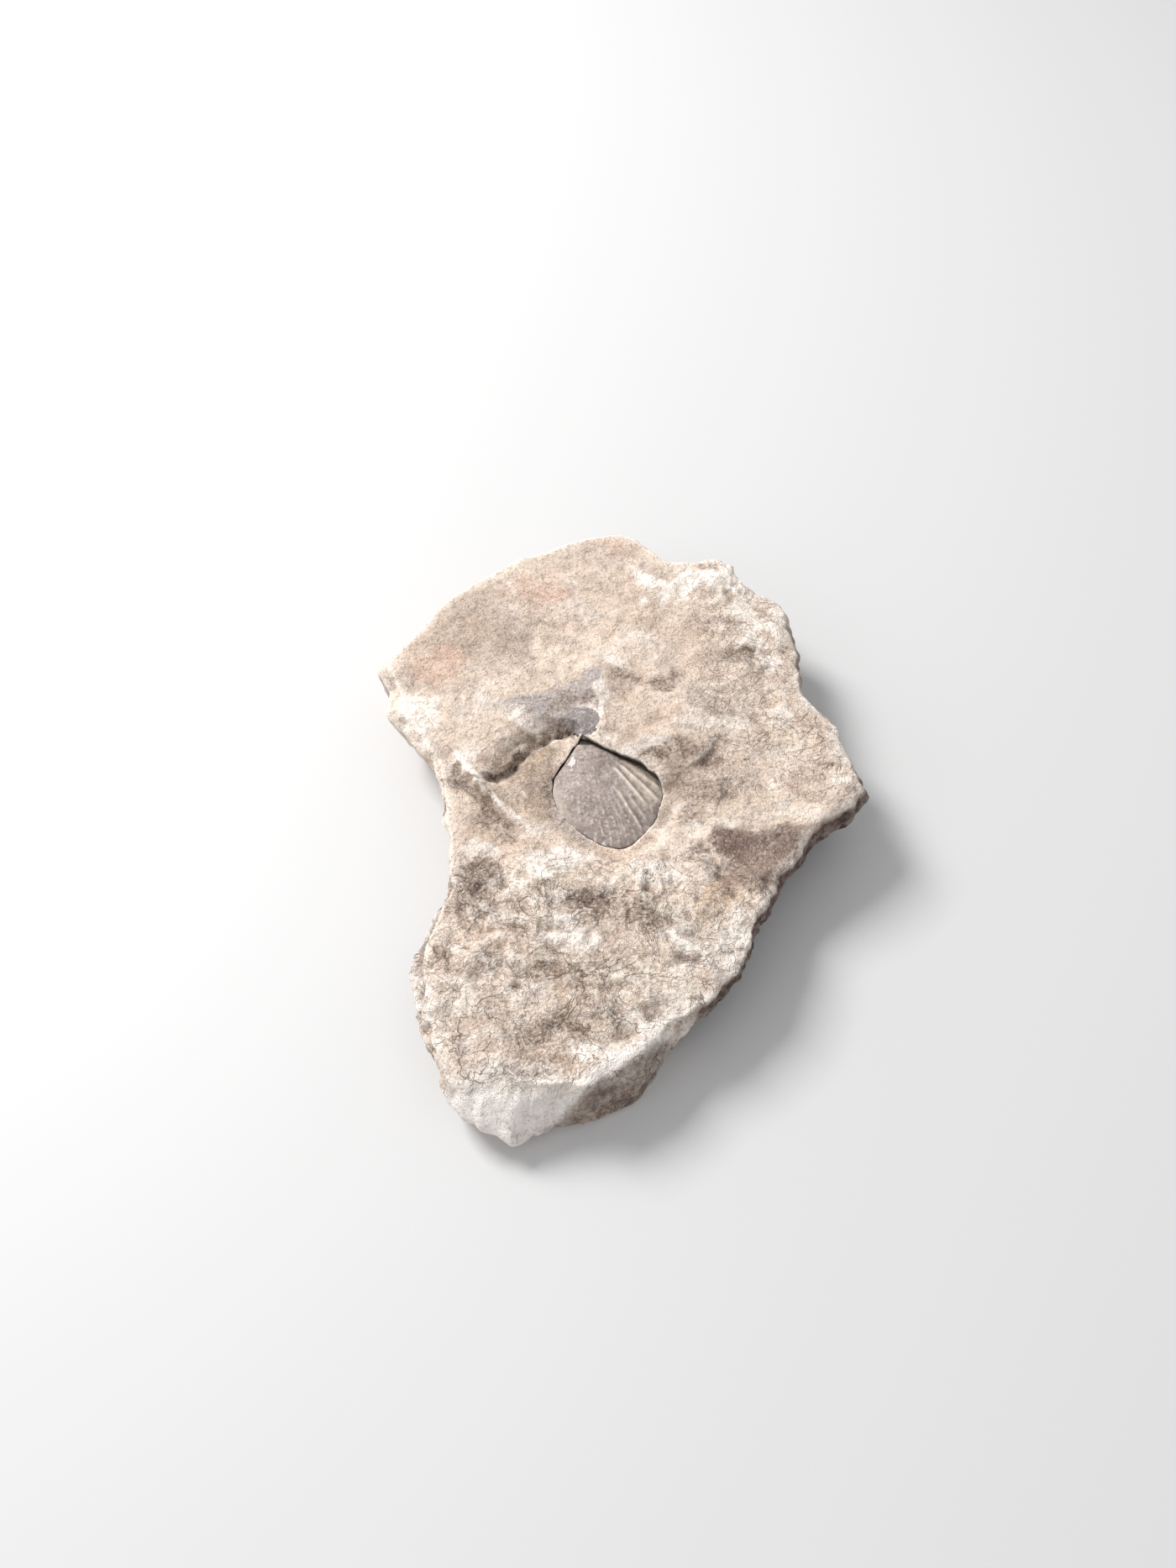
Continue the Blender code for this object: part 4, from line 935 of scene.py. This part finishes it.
def umbo_mesh(settings):
    """A low hooked dome over a ring grid whose tip reaches over the valve, with faint growth lines."""
    border = grid_border(UMBO_CELLS)
    loop = closed_curve(UMBO, len(border))
    centre = np.array(UMBO).mean(axis=0)
    ring, place = ring_grid(UMBO_CELLS)
    xy = centre + (at_place(loop, place) - centre) * ring[:, None]
    flat = np.column_stack([xy, np.zeros(len(xy))])
    top = UMBO_TOP + UMBO_RISE * (1.0 - ring**2)
    stone = np.column_stack([xy, top_height(*xy.T)])
    flush = stone[:, 2] + 0.40 * roughness(stone, 8.0, 3, 51) + 0.10 * (1.0 - ring**2) - 0.04
    top = top + (flush - top) * smooth((xy[:, 1] - 13.8) / 1.2)
    top = top + 0.06 * roughness(flat, 1.6, 4, 401)
    tip = np.hypot(xy[:, 0] - UMBO_TIP[0], xy[:, 1] - UMBO_TIP[1])
    top = top + 0.010 * np.cos(2.0 * np.pi * tip / settings.umbo_line_spacing * MM)
    low = UMBO_FLOOR + UMBO_LIFT * smooth((15.2 - xy[:, 1]) / 1.6)
    points = np.vstack([np.column_stack([xy, top]), np.column_stack([xy, low])])
    under = border + len(xy)
    grid = grid_faces(UMBO_CELLS)
    return points, [np.vstack([grid, band_faces(under, border), grid[:, ::-1] + len(xy)])]


# ---------------------------------------------------------------- objects

def add_piece(name, points, faces, material, facts=None):
    """A mesh object from points in millimetres, with one value a point for each named fact."""
    old = bpy.data.objects.get(name)
    if old:
        bpy.data.objects.remove(old)
    placed = (points - np.array([*MIDDLE, 0.0])) * MM
    mesh = bpy.data.meshes.new(name)
    sizes = np.concatenate([np.full(len(group), group.shape[1]) for group in faces])
    corners = np.concatenate([group.ravel() for group in faces])
    mesh.vertices.add(len(placed))
    mesh.vertices.foreach_set("co", placed.ravel().astype(np.float32))
    mesh.loops.add(len(corners))
    mesh.loops.foreach_set("vertex_index", corners.astype(np.int32))
    mesh.polygons.add(len(sizes))
    mesh.polygons.foreach_set("loop_start", (np.cumsum(sizes) - sizes).astype(np.int32))
    mesh.update(calc_edges=True)
    if mesh.validate():
        raise RuntimeError(name + " has a broken face")
    mesh.shade_smooth()
    for fact, values in (facts or {}).items():
        layer = mesh.attributes.new(fact, "FLOAT", "POINT")
        layer.data.foreach_set("value", np.asarray(values, np.float32))
    mesh.materials.append(material)
    obj = bpy.data.objects.new(name, mesh)
    bpy.context.scene.collection.objects.link(obj)
    return obj


# ---------------------------------------------------------------- shaders

class Signal:
    """One number socket of a shader, so that sums on it are written as plain Python."""

    def __init__(self, shader, socket):
        self.shader, self.socket = shader, socket

    def math(self, operation, first, second=0.0, clamp=False):
        settings = {"operation": operation, "use_clamp": clamp}
        return Signal(self.shader, self.shader.node(
            "ShaderNodeMath", settings, {0: first, 1: second}).outputs[0])

    def __add__(self, other):
        return self.math("ADD", self, other)

    def __sub__(self, other):
        return self.math("SUBTRACT", self, other)

    def __rsub__(self, other):
        return self.math("SUBTRACT", other, self)

    def __mul__(self, other):
        return self.math("MULTIPLY", self, other)

    __radd__ = __add__
    __rmul__ = __mul__

    def clamped(self):
        return self.math("ADD", self, 0.0, clamp=True)

    def line(self, width):
        """One along the winding line where this is a half, fading to zero within the given difference."""
        return self.math("ABSOLUTE", self - 0.5).between(width, 0.0)

    def between(self, low, high):
        """Zero below low, one above high, an S curve between; falls instead where low is above high."""
        if low > high:
            return 1.0 - self.between(high, low)
        return Signal(self.shader, self.shader.node(
            "ShaderNodeMapRange", {"interpolation_type": "SMOOTHSTEP"},
            {"Value": self, "From Min": low, "From Max": high}).outputs[0])


class Shader:
    """A material, its surface shader and one method that adds every other node."""

    def __init__(self, name):
        old = bpy.data.materials.get(name)
        if old:
            bpy.data.materials.remove(old)
        self.material = bpy.data.materials.new(name)
        self.material.use_nodes = True
        self.tree = self.material.node_tree
        self.surface = self.tree.nodes["Principled BSDF"]
        self.colour = None
        place = self.node("ShaderNodeTexCoord").outputs["Object"]
        self.place = self.node("ShaderNodeVectorMath", {"operation": "SCALE"},
                               {0: place, "Scale": 1.0 / MM}).outputs[0]

    def plug(self, socket, value):
        """Links a socket or sets a plain value; three numbers fill a colour."""
        if isinstance(value, Signal):
            value = value.socket
        if isinstance(value, bpy.types.NodeSocket):
            self.tree.links.new(value, socket)
        elif hasattr(value, "__len__") and len(value) == 3 and socket.type == "RGBA":
            socket.default_value = (*value, 1.0)
        else:
            socket.default_value = value

    def node(self, kind, settings=None, sockets=None):
        """Any node: its settings are set before its sockets."""
        made = self.tree.nodes.new(kind)
        for name, value in (settings or {}).items():
            setattr(made, name, value)
        for name, value in (sockets or {}).items():
            self.plug(made.inputs[name], value)
        return made

    def noise(self, size, detail=2.0, rough=0.5, warp=0.0, stretch=(1.0, 1.0, 1.0), turn=0.0):
        """Noise whose features are about size millimetres across, 0..1."""
        place = self.place
        if stretch != (1.0, 1.0, 1.0) or turn:
            place = self.node("ShaderNodeMapping", {"vector_type": "TEXTURE"}, {
                "Vector": place, "Rotation": (0.0, 0.0, turn), "Scale": stretch}).outputs[0]
        return Signal(self, self.node("ShaderNodeTexNoise", {"noise_dimensions": "3D"}, {
            "Vector": place, "Scale": 1.0 / size, "Detail": detail, "Roughness": rough,
            "Distortion": warp}).outputs[0])

    def fact(self, name):
        """A value that the mesh carries at each point."""
        made = self.node("ShaderNodeAttribute", {"attribute_type": "GEOMETRY", "attribute_name": name})
        return Signal(self, made.outputs["Fac"])

    def over(self, share, tint, under=None):
        """Lays a tint over the colour so far, or over the one given, by a share from 0 to 1.

        A Mix node keeps its colours in inputs 6 and 7 and in output 2.
        """
        under = self.colour if under is None else under
        self.colour = self.node("ShaderNodeMix", {"data_type": "RGBA", "clamp_factor": True},
                                {0: share, 6: under, 7: tint}).outputs[2]

    def finish(self, rough, bump_height, bump_depth, specular):
        """Connects colour, roughness and a bump given in millimetres."""
        bump = self.node("ShaderNodeBump", None,
                         {"Height": bump_height, "Strength": 1.0, "Distance": bump_depth * MM})
        self.plug(self.surface.inputs["Base Color"], self.colour)
        self.plug(self.surface.inputs["Roughness"], rough)
        self.plug(self.surface.inputs["Normal"], bump.outputs[0])
        self.surface.inputs["Specular IOR Level"].default_value = specular
        return self.material


def limestone(settings):
    """Warm beige limestone: clouds of cream and grey, stains, dirt and painted shade in the hollows, worn
    pale edges with painted highlight, sugary grain.
    """
    s = Shader("weathered_limestone")
    clouds, tint = s.noise(13.0, 3.0, 0.55, 0.4), s.noise(7.0, 2.0, 0.6, 0.5)
    mottle, blotch = s.noise(5.0, 7.0, 0.68, 0.6), s.noise(1.7, 5.0, 0.68, 0.8)
    grain, pits = s.noise(0.36, 2.0, 0.7), s.noise(0.62, 3.0, 0.62, 0.5)
    scratch = s.noise(0.42, 3.0, 0.65, 0.4, (0.8, 3.4, 1.0), math.radians(38.0))
    scrape = s.noise(0.42, 3.0, 0.65, 0.4, (0.8, 3.0, 1.0), math.radians(-52.0))
    cracks, seams = s.noise(4.4, 4.0, 0.52, 0.9), s.noise(3.2, 4.0, 0.54, 1.1)
    hairlines = s.noise(1.9, 3.0, 0.6, 1.6)
    coarse, fine, wide = s.fact("coarse"), s.fact("relief_fine"), s.fact("relief_wide")
    # Dark stains, with painted shade on the step's face from the cliff zone
    pale, stain_and_cliff_shade = s.fact("pale_stain"), s.fact("dark_stain") + s.fact("cliff") * 0.12
    brown, umber, toe_pale = s.fact("brown_stain"), s.fact("umber_stain"), s.fact("toe_pale")

    # Clouds, then the stained patches that the mesh carries
    s.over(clouds.between(0.40, 0.60), settings.cream, settings.beige)
    s.over(tint.between(0.52, 0.64) * 0.35, settings.pink)
    s.over(tint.between(0.46, 0.36) * 0.35, settings.grey)
    s.over(brown * (0.40 + mottle * 0.7), settings.brown_grey)
    s.over(s.fact("grey_stain") * blotch.between(0.28, 0.52), settings.grey)
    s.over(s.fact("pink_stain") * 0.8, settings.pink)
    s.over(s.fact("ochre_stain") * mottle.between(0.3, 0.55) * 0.85, settings.ochre)
    s.over(pale * blotch.between(0.30, 0.52) * 0.9, settings.pale)
    # Painted light on the steep sides that face left
    s.over(s.fact("left_side_light") * 0.04, settings.pale)

    # Dirt and painted shade in the hollows, wear and painted highlight on whatever stands out, and along
    # the rim
    dark = stain_and_cliff_shade * blotch.between(0.32, 0.56) + mottle.between(0.50, 0.32) * (0.12 + coarse * 0.38)
    dark = dark + blotch.between(0.46, 0.32) * coarse * 0.35
    # Painted shade in the hollows of the mesh, with their dirt
    dark = dark + (wide * -2.6).clamped() * 0.6 + (fine * -9.0).clamped() * 0.5
    s.over(dark.clamped() * 0.9, settings.brown_grey)
    s.over(stain_and_cliff_shade * pits.between(0.42, 0.56) * 0.75, settings.dark)
    light = mottle.between(0.50, 0.68) * (0.15 + coarse * 0.4) + blotch.between(0.54, 0.68) * coarse * 0.4
    # Painted highlight on what stands out of the mesh, with its wear
    light = (light + (fine * 8.0).clamped() * 0.6) * (1.0 - brown.clamped() * 0.6)
    # Painted highlight along the rim, over its worn edge
    light = light + s.fact("rim_near") * 0.65
    s.over(light.clamped() * 0.85, settings.pale)
    s.over(umber * 0.40 + umber.clamped() * blotch.between(0.62, 0.38) * 0.40, settings.umber)

    # Grain, pits and scratches
    strength = (0.14 + coarse * 0.24) * (1.0 - pale.clamped() * 0.5)
    s.over(grain.between(0.48, 0.68) * (strength + 0.06), settings.dark)
    s.over(grain.between(0.50, 0.30) * (strength + 0.08), settings.pale)
    s.over(pits.between(0.58, 0.68) * strength, settings.dark)
    s.over(scratch.between(0.60, 0.70) * (strength + 0.1), settings.pale)
    s.over(scrape.between(0.61, 0.70) * strength, settings.brown_grey)

    # Cracks and pale seams, few of them on the clean toe
    clean = 1.0 - toe_pale.clamped() * 0.7
    shown = mottle.between(0.56, 0.40) * (0.10 + coarse * 0.75) * clean
    s.over(cracks.line(CRACK) * (clean * 0.10 + shown) * 0.9, settings.dark)
    s.over(hairlines.line(HAIRLINE) * shown * 0.45, settings.dark)
    s.over(seams.line(SEAM) * (0.10 + mottle.between(0.40, 0.60) * coarse) * 0.9, settings.pale)

    # Freshly broken faces, the rusty side darkened with painted shade, and painted shade under the
    # overhang
    s.over(toe_pale * (0.62 + blotch.between(0.36, 0.60) * 0.33), settings.fresh)
    # Reddish brown with painted shade on the sides turned away from the light
    s.over(s.fact("rust_and_shade_side").clamped() * (0.72 + blotch.between(0.58, 0.38) * 0.26), settings.rust_and_shade)
    # Painted shade under the overhang and down into the valve's seat
    s.over(s.fact("seat_shade"), settings.seat_shade)

    height = mottle * 1.6 + blotch * 0.7 + grain * 0.4 + scratch * 0.3 - pits.between(0.54, 0.70) * 0.3
    height = height - cracks.line(GROOVE) * (0.1 + coarse) * clean * 0.35
    height = height + seams.line(GROOVE) * coarse * clean * 0.25
    return s.finish(0.78 + grain * 0.2, height, settings.grain_depth / MM, 0.3)


def shell(settings, name, base, light):
    """Dull grey-mauve shell: paler rib crests with painted highlight, dust and painted shade in the
    grooves, worn patches and stains.
    """
    s = Shader(name)
    clouds, patches = s.noise(3.2, 3.0, 0.6, 0.5), s.noise(1.1, 3.0, 0.65, 0.4)
    grain, sugar = s.noise(0.42, 3.0, 0.7), s.noise(0.2, 2.0, 0.6)
    crest, crust, margin, reach, side, plica, furrow, stony = (s.fact(name) for name in SHELL_FACTS)
    relief_fine = s.fact("relief_fine")
    s.over(clouds.between(0.35, 0.65), light, base)
    smooth_flank = side.between(2.4, 5.0) * (1.0 - reach.between(13.0, 15.0)) * reach.between(4.0, 7.0)
    s.over(smooth_flank * 0.75, settings.flank)
    s.over(patches.between(0.54, 0.66) * 0.35, settings.groove_dust_and_shade)
    s.over(patches.between(0.45, 0.35) * 0.35, settings.bluish)
    s.over(grain.between(0.52, 0.66) * 0.6, settings.groove_dust_and_shade)
    s.over(grain.between(0.46, 0.32) * 0.55, settings.crest)
    # Painted shade and dust in the hollows of the shell's relief, painted highlight on the rib crests
    s.over((relief_fine * -16.0).clamped() * 0.8, settings.groove_dust_and_shade)
    s.over((relief_fine * 14.0).clamped() * crest.between(0.3, 0.9) * 0.85, settings.crest)
    # Painted shade beside the strong ribs and painted highlight on them
    s.over(furrow.clamped() * 0.5, settings.groove_dust_and_shade)
    s.over(plica.clamped() * grain.between(0.25, 0.5) * 0.9, settings.crest)
    s.over(stony * patches.between(0.3, 0.55) * 0.9, settings.stony)
    # Painted shade along the front margin, where its edge stands proud
    s.over(margin * 0.5 * clouds.between(0.3, 0.6), settings.groove_dust_and_shade)
    s.over(crust * 0.95, settings.calcite)
    return s.finish(0.55 + grain * 0.25, grain * 0.5 + sugar * 0.3, settings.shell_grain / MM, 0.4)


# ---------------------------------------------------------------- settings

def length(name, description, default):
    """A length in metres."""
    return bpy.props.FloatProperty(
        name=name, description=description, default=default, min=0.0, unit="LENGTH")


def power(name, description, default):
    """The power of a light in watts."""
    return bpy.props.FloatProperty(
        name=name, description=description, default=default, min=0.0, unit="POWER")


def colour(name, description, default):
    """A surface colour."""
    return bpy.props.FloatVectorProperty(
        name=name, description=description, default=default, size=3, min=0.0, max=1.0, subtype="COLOR")


class SlabSettings(bpy.types.PropertyGroup):
    weathering: length("Weathering", "Depth of the shallow pits on the upper face", 0.00023)
    side_chips: length("Side chips", "Depth of the broken scoops on the side", 0.00035)
    grain_depth: length("Grain depth", "Depth of the finest grain", 0.00037)
    beige: colour("Beige", "Main colour of the stone", (0.565, 0.445, 0.352))
    cream: colour("Cream", "Lighter clouds in the stone", (0.675, 0.545, 0.440))
    # Pale also paints the highlight on the rim and on what stands out
    pale: colour("Pale", "Fresh edges and white patches", (0.86, 0.775, 0.695))
    fresh: colour("Fresh", "Freshly broken, nearly white stone at the toe", (0.88, 0.81, 0.76))
    # Brown grey also paints the shade in the hollows
    brown_grey: colour("Brown grey", "Hollows and mottles", (0.305, 0.226, 0.174))
    umber: colour("Umber", "Purplish brown stain on the lower right facet", (0.20, 0.130, 0.105))
    dark: colour("Dark", "Darkest stains", (0.12, 0.083, 0.060))
    grey: colour("Grey", "Bluish grey patches", (0.37, 0.32, 0.305))
    pink: colour("Pink", "Pinkish brown patches", (0.56, 0.385, 0.295))
    ochre: colour("Ochre", "Iron-stained patches", (0.55, 0.395, 0.272))
    # Very dark: a reddish brown with painted shade in it
    rust_and_shade: colour("Rust", "Reddish brown broken side", (0.070, 0.036, 0.031))
    # Colour of the painted shade under the overhang and in the valve's seat
    seat_shade: colour("Crevice", "Dirt under the overhang", (0.045, 0.032, 0.026))


class ShellSettings(bpy.types.PropertyGroup):
    valve_rise: length("Rise", "Height of the valve's dome above its margin", 0.00175)
    rib_height: length("Rib height", "Height of the ribs near the front", 0.00008)
    growth_rings: length("Growth rings", "Height of the faint rings parallel to the margin", 0.000018)
    rib_spacing: bpy.props.FloatProperty(
        name="Rib spacing", description="Angle between ribs at the beak, in degrees",
        default=3.6, min=1.0, max=12.0)
    umbo_line_spacing: length("Umbo line spacing", "Distance between growth lines on the umbo", 0.0006)
    shell_grain: length("Shell grain", "Depth of the finest grain on the shell", 0.00005)
    base: colour("Base", "Main colour of the valve", (0.264, 0.211, 0.185))
    light: colour("Light", "Lighter worn shell", (0.335, 0.275, 0.242))
    flank: colour("Flank", "Smooth greenish beige flank", (0.52, 0.43, 0.34))
    # Crest also paints the highlight on the ribs
    crest: colour("Crest", "Pale rib crests", (0.66, 0.58, 0.50))
    bluish: colour("Bluish", "Bluish grey flecks", (0.40, 0.38, 0.41))
    stony: colour("Stony", "Limestone dust on the soft left margin", (0.48, 0.40, 0.32))
    # Groove colour also paints the shade in the grooves, beside the strong ribs and at the margin
    groove_dust_and_shade: colour("Groove", "Dust in the grooves", (0.13, 0.105, 0.095))
    calcite: colour("Calcite", "White crust on the left edge", (0.54, 0.50, 0.475))
    umbo_base: colour("Umbo base", "Main colour of the umbo", (0.190, 0.160, 0.154))
    umbo_light: colour("Umbo light", "Lighter parts of the umbo", (0.27, 0.232, 0.220))


class StageSettings(bpy.types.PropertyGroup):
    floor_colour: colour("Floor", "Colour of the floor", (0.56, 0.555, 0.55))
    floor_radius: length("Floor radius", "Radius of the floor", 2.5)
    window: power("Window", "Power of the light from the back left", 6.0)
    fill: power("Fill", "Power of the light from the front left", 0.4)
    sky: bpy.props.FloatProperty(
        name="Sky", description="Strength of the light from all round", default=0.67, min=0.0)


# ---------------------------------------------------------------- operators

class FOSSIL_OT_slab(bpy.types.Operator):
    """Build the slab of limestone with the seat of the valve"""
    bl_idname = "fossil.slab"
    bl_label = "Limestone slab"

    def execute(self, context):
        settings = context.scene.fossil_slab
        points, faces, zones = slab_mesh(settings)
        normals = mesh_normals(points, faces)
        edges = mesh_edges(faces)
        facts = stains(points, smooth((normals[:, 2] - 0.15) / 0.35))
        facts.update({name: zones[name] for name in ("seat_shade", "rim_near", "cliff")})
        x, y, z = points.T
        facts["coarse"] = coarseness(x, y)
        facts["relief_fine"] = relief(points, normals, edges, FINE_RELIEF)
        facts["relief_wide"] = relief(points, normals, edges, WIDE_RELIEF)
        steep = 1.0 - smooth((normals[:, 2] - 0.10) / 0.40)
        at_toe = smooth((-24.0 - y) / 3.0)
        # The toe's face turned to the lower right also gets painted shade
        toe_dark = smooth((path_distance(x, y, TOE_EDGE)[0] + 0.2) / 0.6) * smooth((z - 0.5) / 0.6)
        facts["rust_and_shade_side"] = zones["side_rust_and_shade"] * (1.0 - at_toe) + 0.60 * at_toe * toe_dark
        facts["grey_stain"] = np.maximum(facts["grey_stain"], zones["side_grey"])
        facts["dark_stain"] = np.maximum(facts["dark_stain"], 0.4 * zones["side_grey"])
        facts["toe_pale"] = at_toe * (1.0 - toe_dark) * smooth((path_distance(x, y, LIP)[0] + 0.2) / 0.7)
        # Steep sides that face left, for painted light
        facts["left_side_light"] = steep * smooth((-normals[:, 0] - 0.1) / 0.5)
        piece = add_piece("limestone_slab", points, faces, limestone(settings), facts)
        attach(piece, "root")
        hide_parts("limestone_matrix")
        return {"FINISHED"}


class FOSSIL_OT_valve(bpy.types.Operator):
    """Build the ribbed valve in its seat"""
    bl_idname = "fossil.valve"
    bl_label = "Ribbed valve"

    def execute(self, context):
        settings = context.scene.fossil_shell
        points, faces, facts = valve_mesh(settings)
        normals = mesh_normals(points, faces)
        facts["relief_fine"] = relief(points, normals, mesh_edges(faces), SHELL_RELIEF)
        material = shell(settings, "ribbed_shell", settings.base, settings.light)
        piece = add_piece("ribbed_valve", points, faces, material, facts)
        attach(piece, "root")
        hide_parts("brachiopod_valve")
        return {"FINISHED"}


class FOSSIL_OT_umbo(bpy.types.Operator):
    """Build the hooked umbo behind the valve's beak"""
    bl_idname = "fossil.umbo"
    bl_label = "Umbo"

    def execute(self, context):
        settings = context.scene.fossil_shell
        points, faces = umbo_mesh(settings)
        normals = mesh_normals(points, faces)
        facts = dict.fromkeys(SHELL_FACTS, np.zeros(len(points)))
        facts["relief_fine"] = relief(points, normals, mesh_edges(faces), SHELL_RELIEF)
        material = shell(settings, "worn_shell", settings.umbo_base, settings.umbo_light)
        piece = add_piece("hooked_umbo", points, faces, material, facts)
        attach(piece, "root")
        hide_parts("umbo_fragment")
        return {"FINISHED"}


class FOSSIL_OT_stage(bpy.types.Operator):
    """Build the floor, the lights and the camera"""
    bl_idname = "fossil.stage"
    bl_label = "Floor, lights and camera"

    def execute(self, context):
        settings = context.scene.fossil_stage
        turn = np.linspace(0.0, 2.0 * np.pi, FLOOR_SIDES, endpoint=False)
        radius = np.array([0.02, 0.1, 0.4, 1.0]) * settings.floor_radius / MM
        shape = (len(radius), FLOOR_SIDES)
        loops = np.stack([np.outer(radius, np.cos(turn)), np.outer(radius, np.sin(turn)),
                          np.zeros(shape)], -1)
        points = np.vstack([np.zeros((1, 3)), loops.reshape(-1, 3)]) + np.array([*MIDDLE, 0.0])
        index = 1 + np.arange(len(radius) * FLOOR_SIDES).reshape(shape)
        bands = np.vstack([band_faces(outer, inner) for inner, outer in zip(index, index[1:])])
        middle = np.stack([np.zeros(FLOOR_SIDES, int), index[0], np.roll(index[0], -1)], 1)
        s = Shader("pale_floor")
        s.surface.inputs["Base Color"].default_value = (*settings.floor_colour, 1.0)
        s.surface.inputs["Roughness"].default_value = 0.6
        floor = add_piece("floor", points, [bands, middle], s.material)

        self.light("window_light", WINDOW_PLACE, settings.window, WINDOW_SIZE)
        self.light("side_light", FILL_PLACE, settings.fill, FILL_SIZE)
        world = bpy.data.worlds.new("soft_room")
        world.use_nodes = True
        background = world.node_tree.nodes["Background"]
        background.inputs["Color"].default_value = SKY_COLOUR
        background.inputs["Strength"].default_value = settings.sky
        context.scene.world = world
        context.scene.view_settings.view_transform = "Standard"

        camera = bpy.data.cameras.new("camera")
        camera.lens = CAMERA_LENS
        camera.sensor_width = SENSOR_WIDTH
        camera.clip_start = 0.01
        seen = bpy.data.objects.new("camera", camera)
        seen.location = CAMERA_PLACE
        seen.rotation_euler = (CAMERA_TILT, 0.0, 0.0)
        context.scene.collection.objects.link(seen)
        context.scene.camera = seen
        return {"FINISHED"}

    def light(self, name, place, watts, size):
        """A square soft light that faces the origin."""
        lamp = bpy.data.lights.new(name, "AREA")
        lamp.energy = watts
        lamp.shape = "SQUARE"
        lamp.size = size
        obj = bpy.data.objects.new(name, lamp)
        obj.location = place
        obj.rotation_euler = (-Vector(place)).to_track_quat("-Z", "Y").to_euler()
        bpy.context.scene.collection.objects.link(obj)


class FOSSIL_PT_panel(bpy.types.Panel):
    """Sizes, colours and the steps that build the fossil"""
    bl_idname = "FOSSIL_PT_panel"
    bl_label = "Fossil in limestone"
    bl_space_type = "VIEW_3D"
    bl_region_type = "UI"
    bl_category = "Fossil"

    def draw(self, context):
        groups = ((context.scene.fossil_slab, (FOSSIL_OT_slab,)),
                  (context.scene.fossil_shell, (FOSSIL_OT_valve, FOSSIL_OT_umbo)),
                  (context.scene.fossil_stage, (FOSSIL_OT_stage,)))
        for settings, steps in groups:
            box = self.layout.box()
            for name in settings.__annotations__:
                box.prop(settings, name)
            for step in steps:
                box.operator(step.bl_idname)


GROUPS = {"fossil_slab": SlabSettings, "fossil_shell": ShellSettings, "fossil_stage": StageSettings}
CLASSES = (*GROUPS.values(), FOSSIL_OT_slab, FOSSIL_OT_valve, FOSSIL_OT_umbo, FOSSIL_OT_stage,
           FOSSIL_PT_panel)


def register():
    for cls in CLASSES:
        bpy.utils.register_class(cls)
    for name, group in GROUPS.items():
        setattr(bpy.types.Scene, name, bpy.props.PointerProperty(type=group))


def unregister():
    for name in GROUPS:
        delattr(bpy.types.Scene, name)
    for cls in reversed(CLASSES):
        bpy.utils.unregister_class(cls)


def main():
    """Registers the add-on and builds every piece."""
    register()
    bpy.ops.fossil.slab()
    bpy.ops.fossil.valve()
    bpy.ops.fossil.umbo()
    bpy.ops.fossil.stage()


if __name__ == "__main__":
    main()
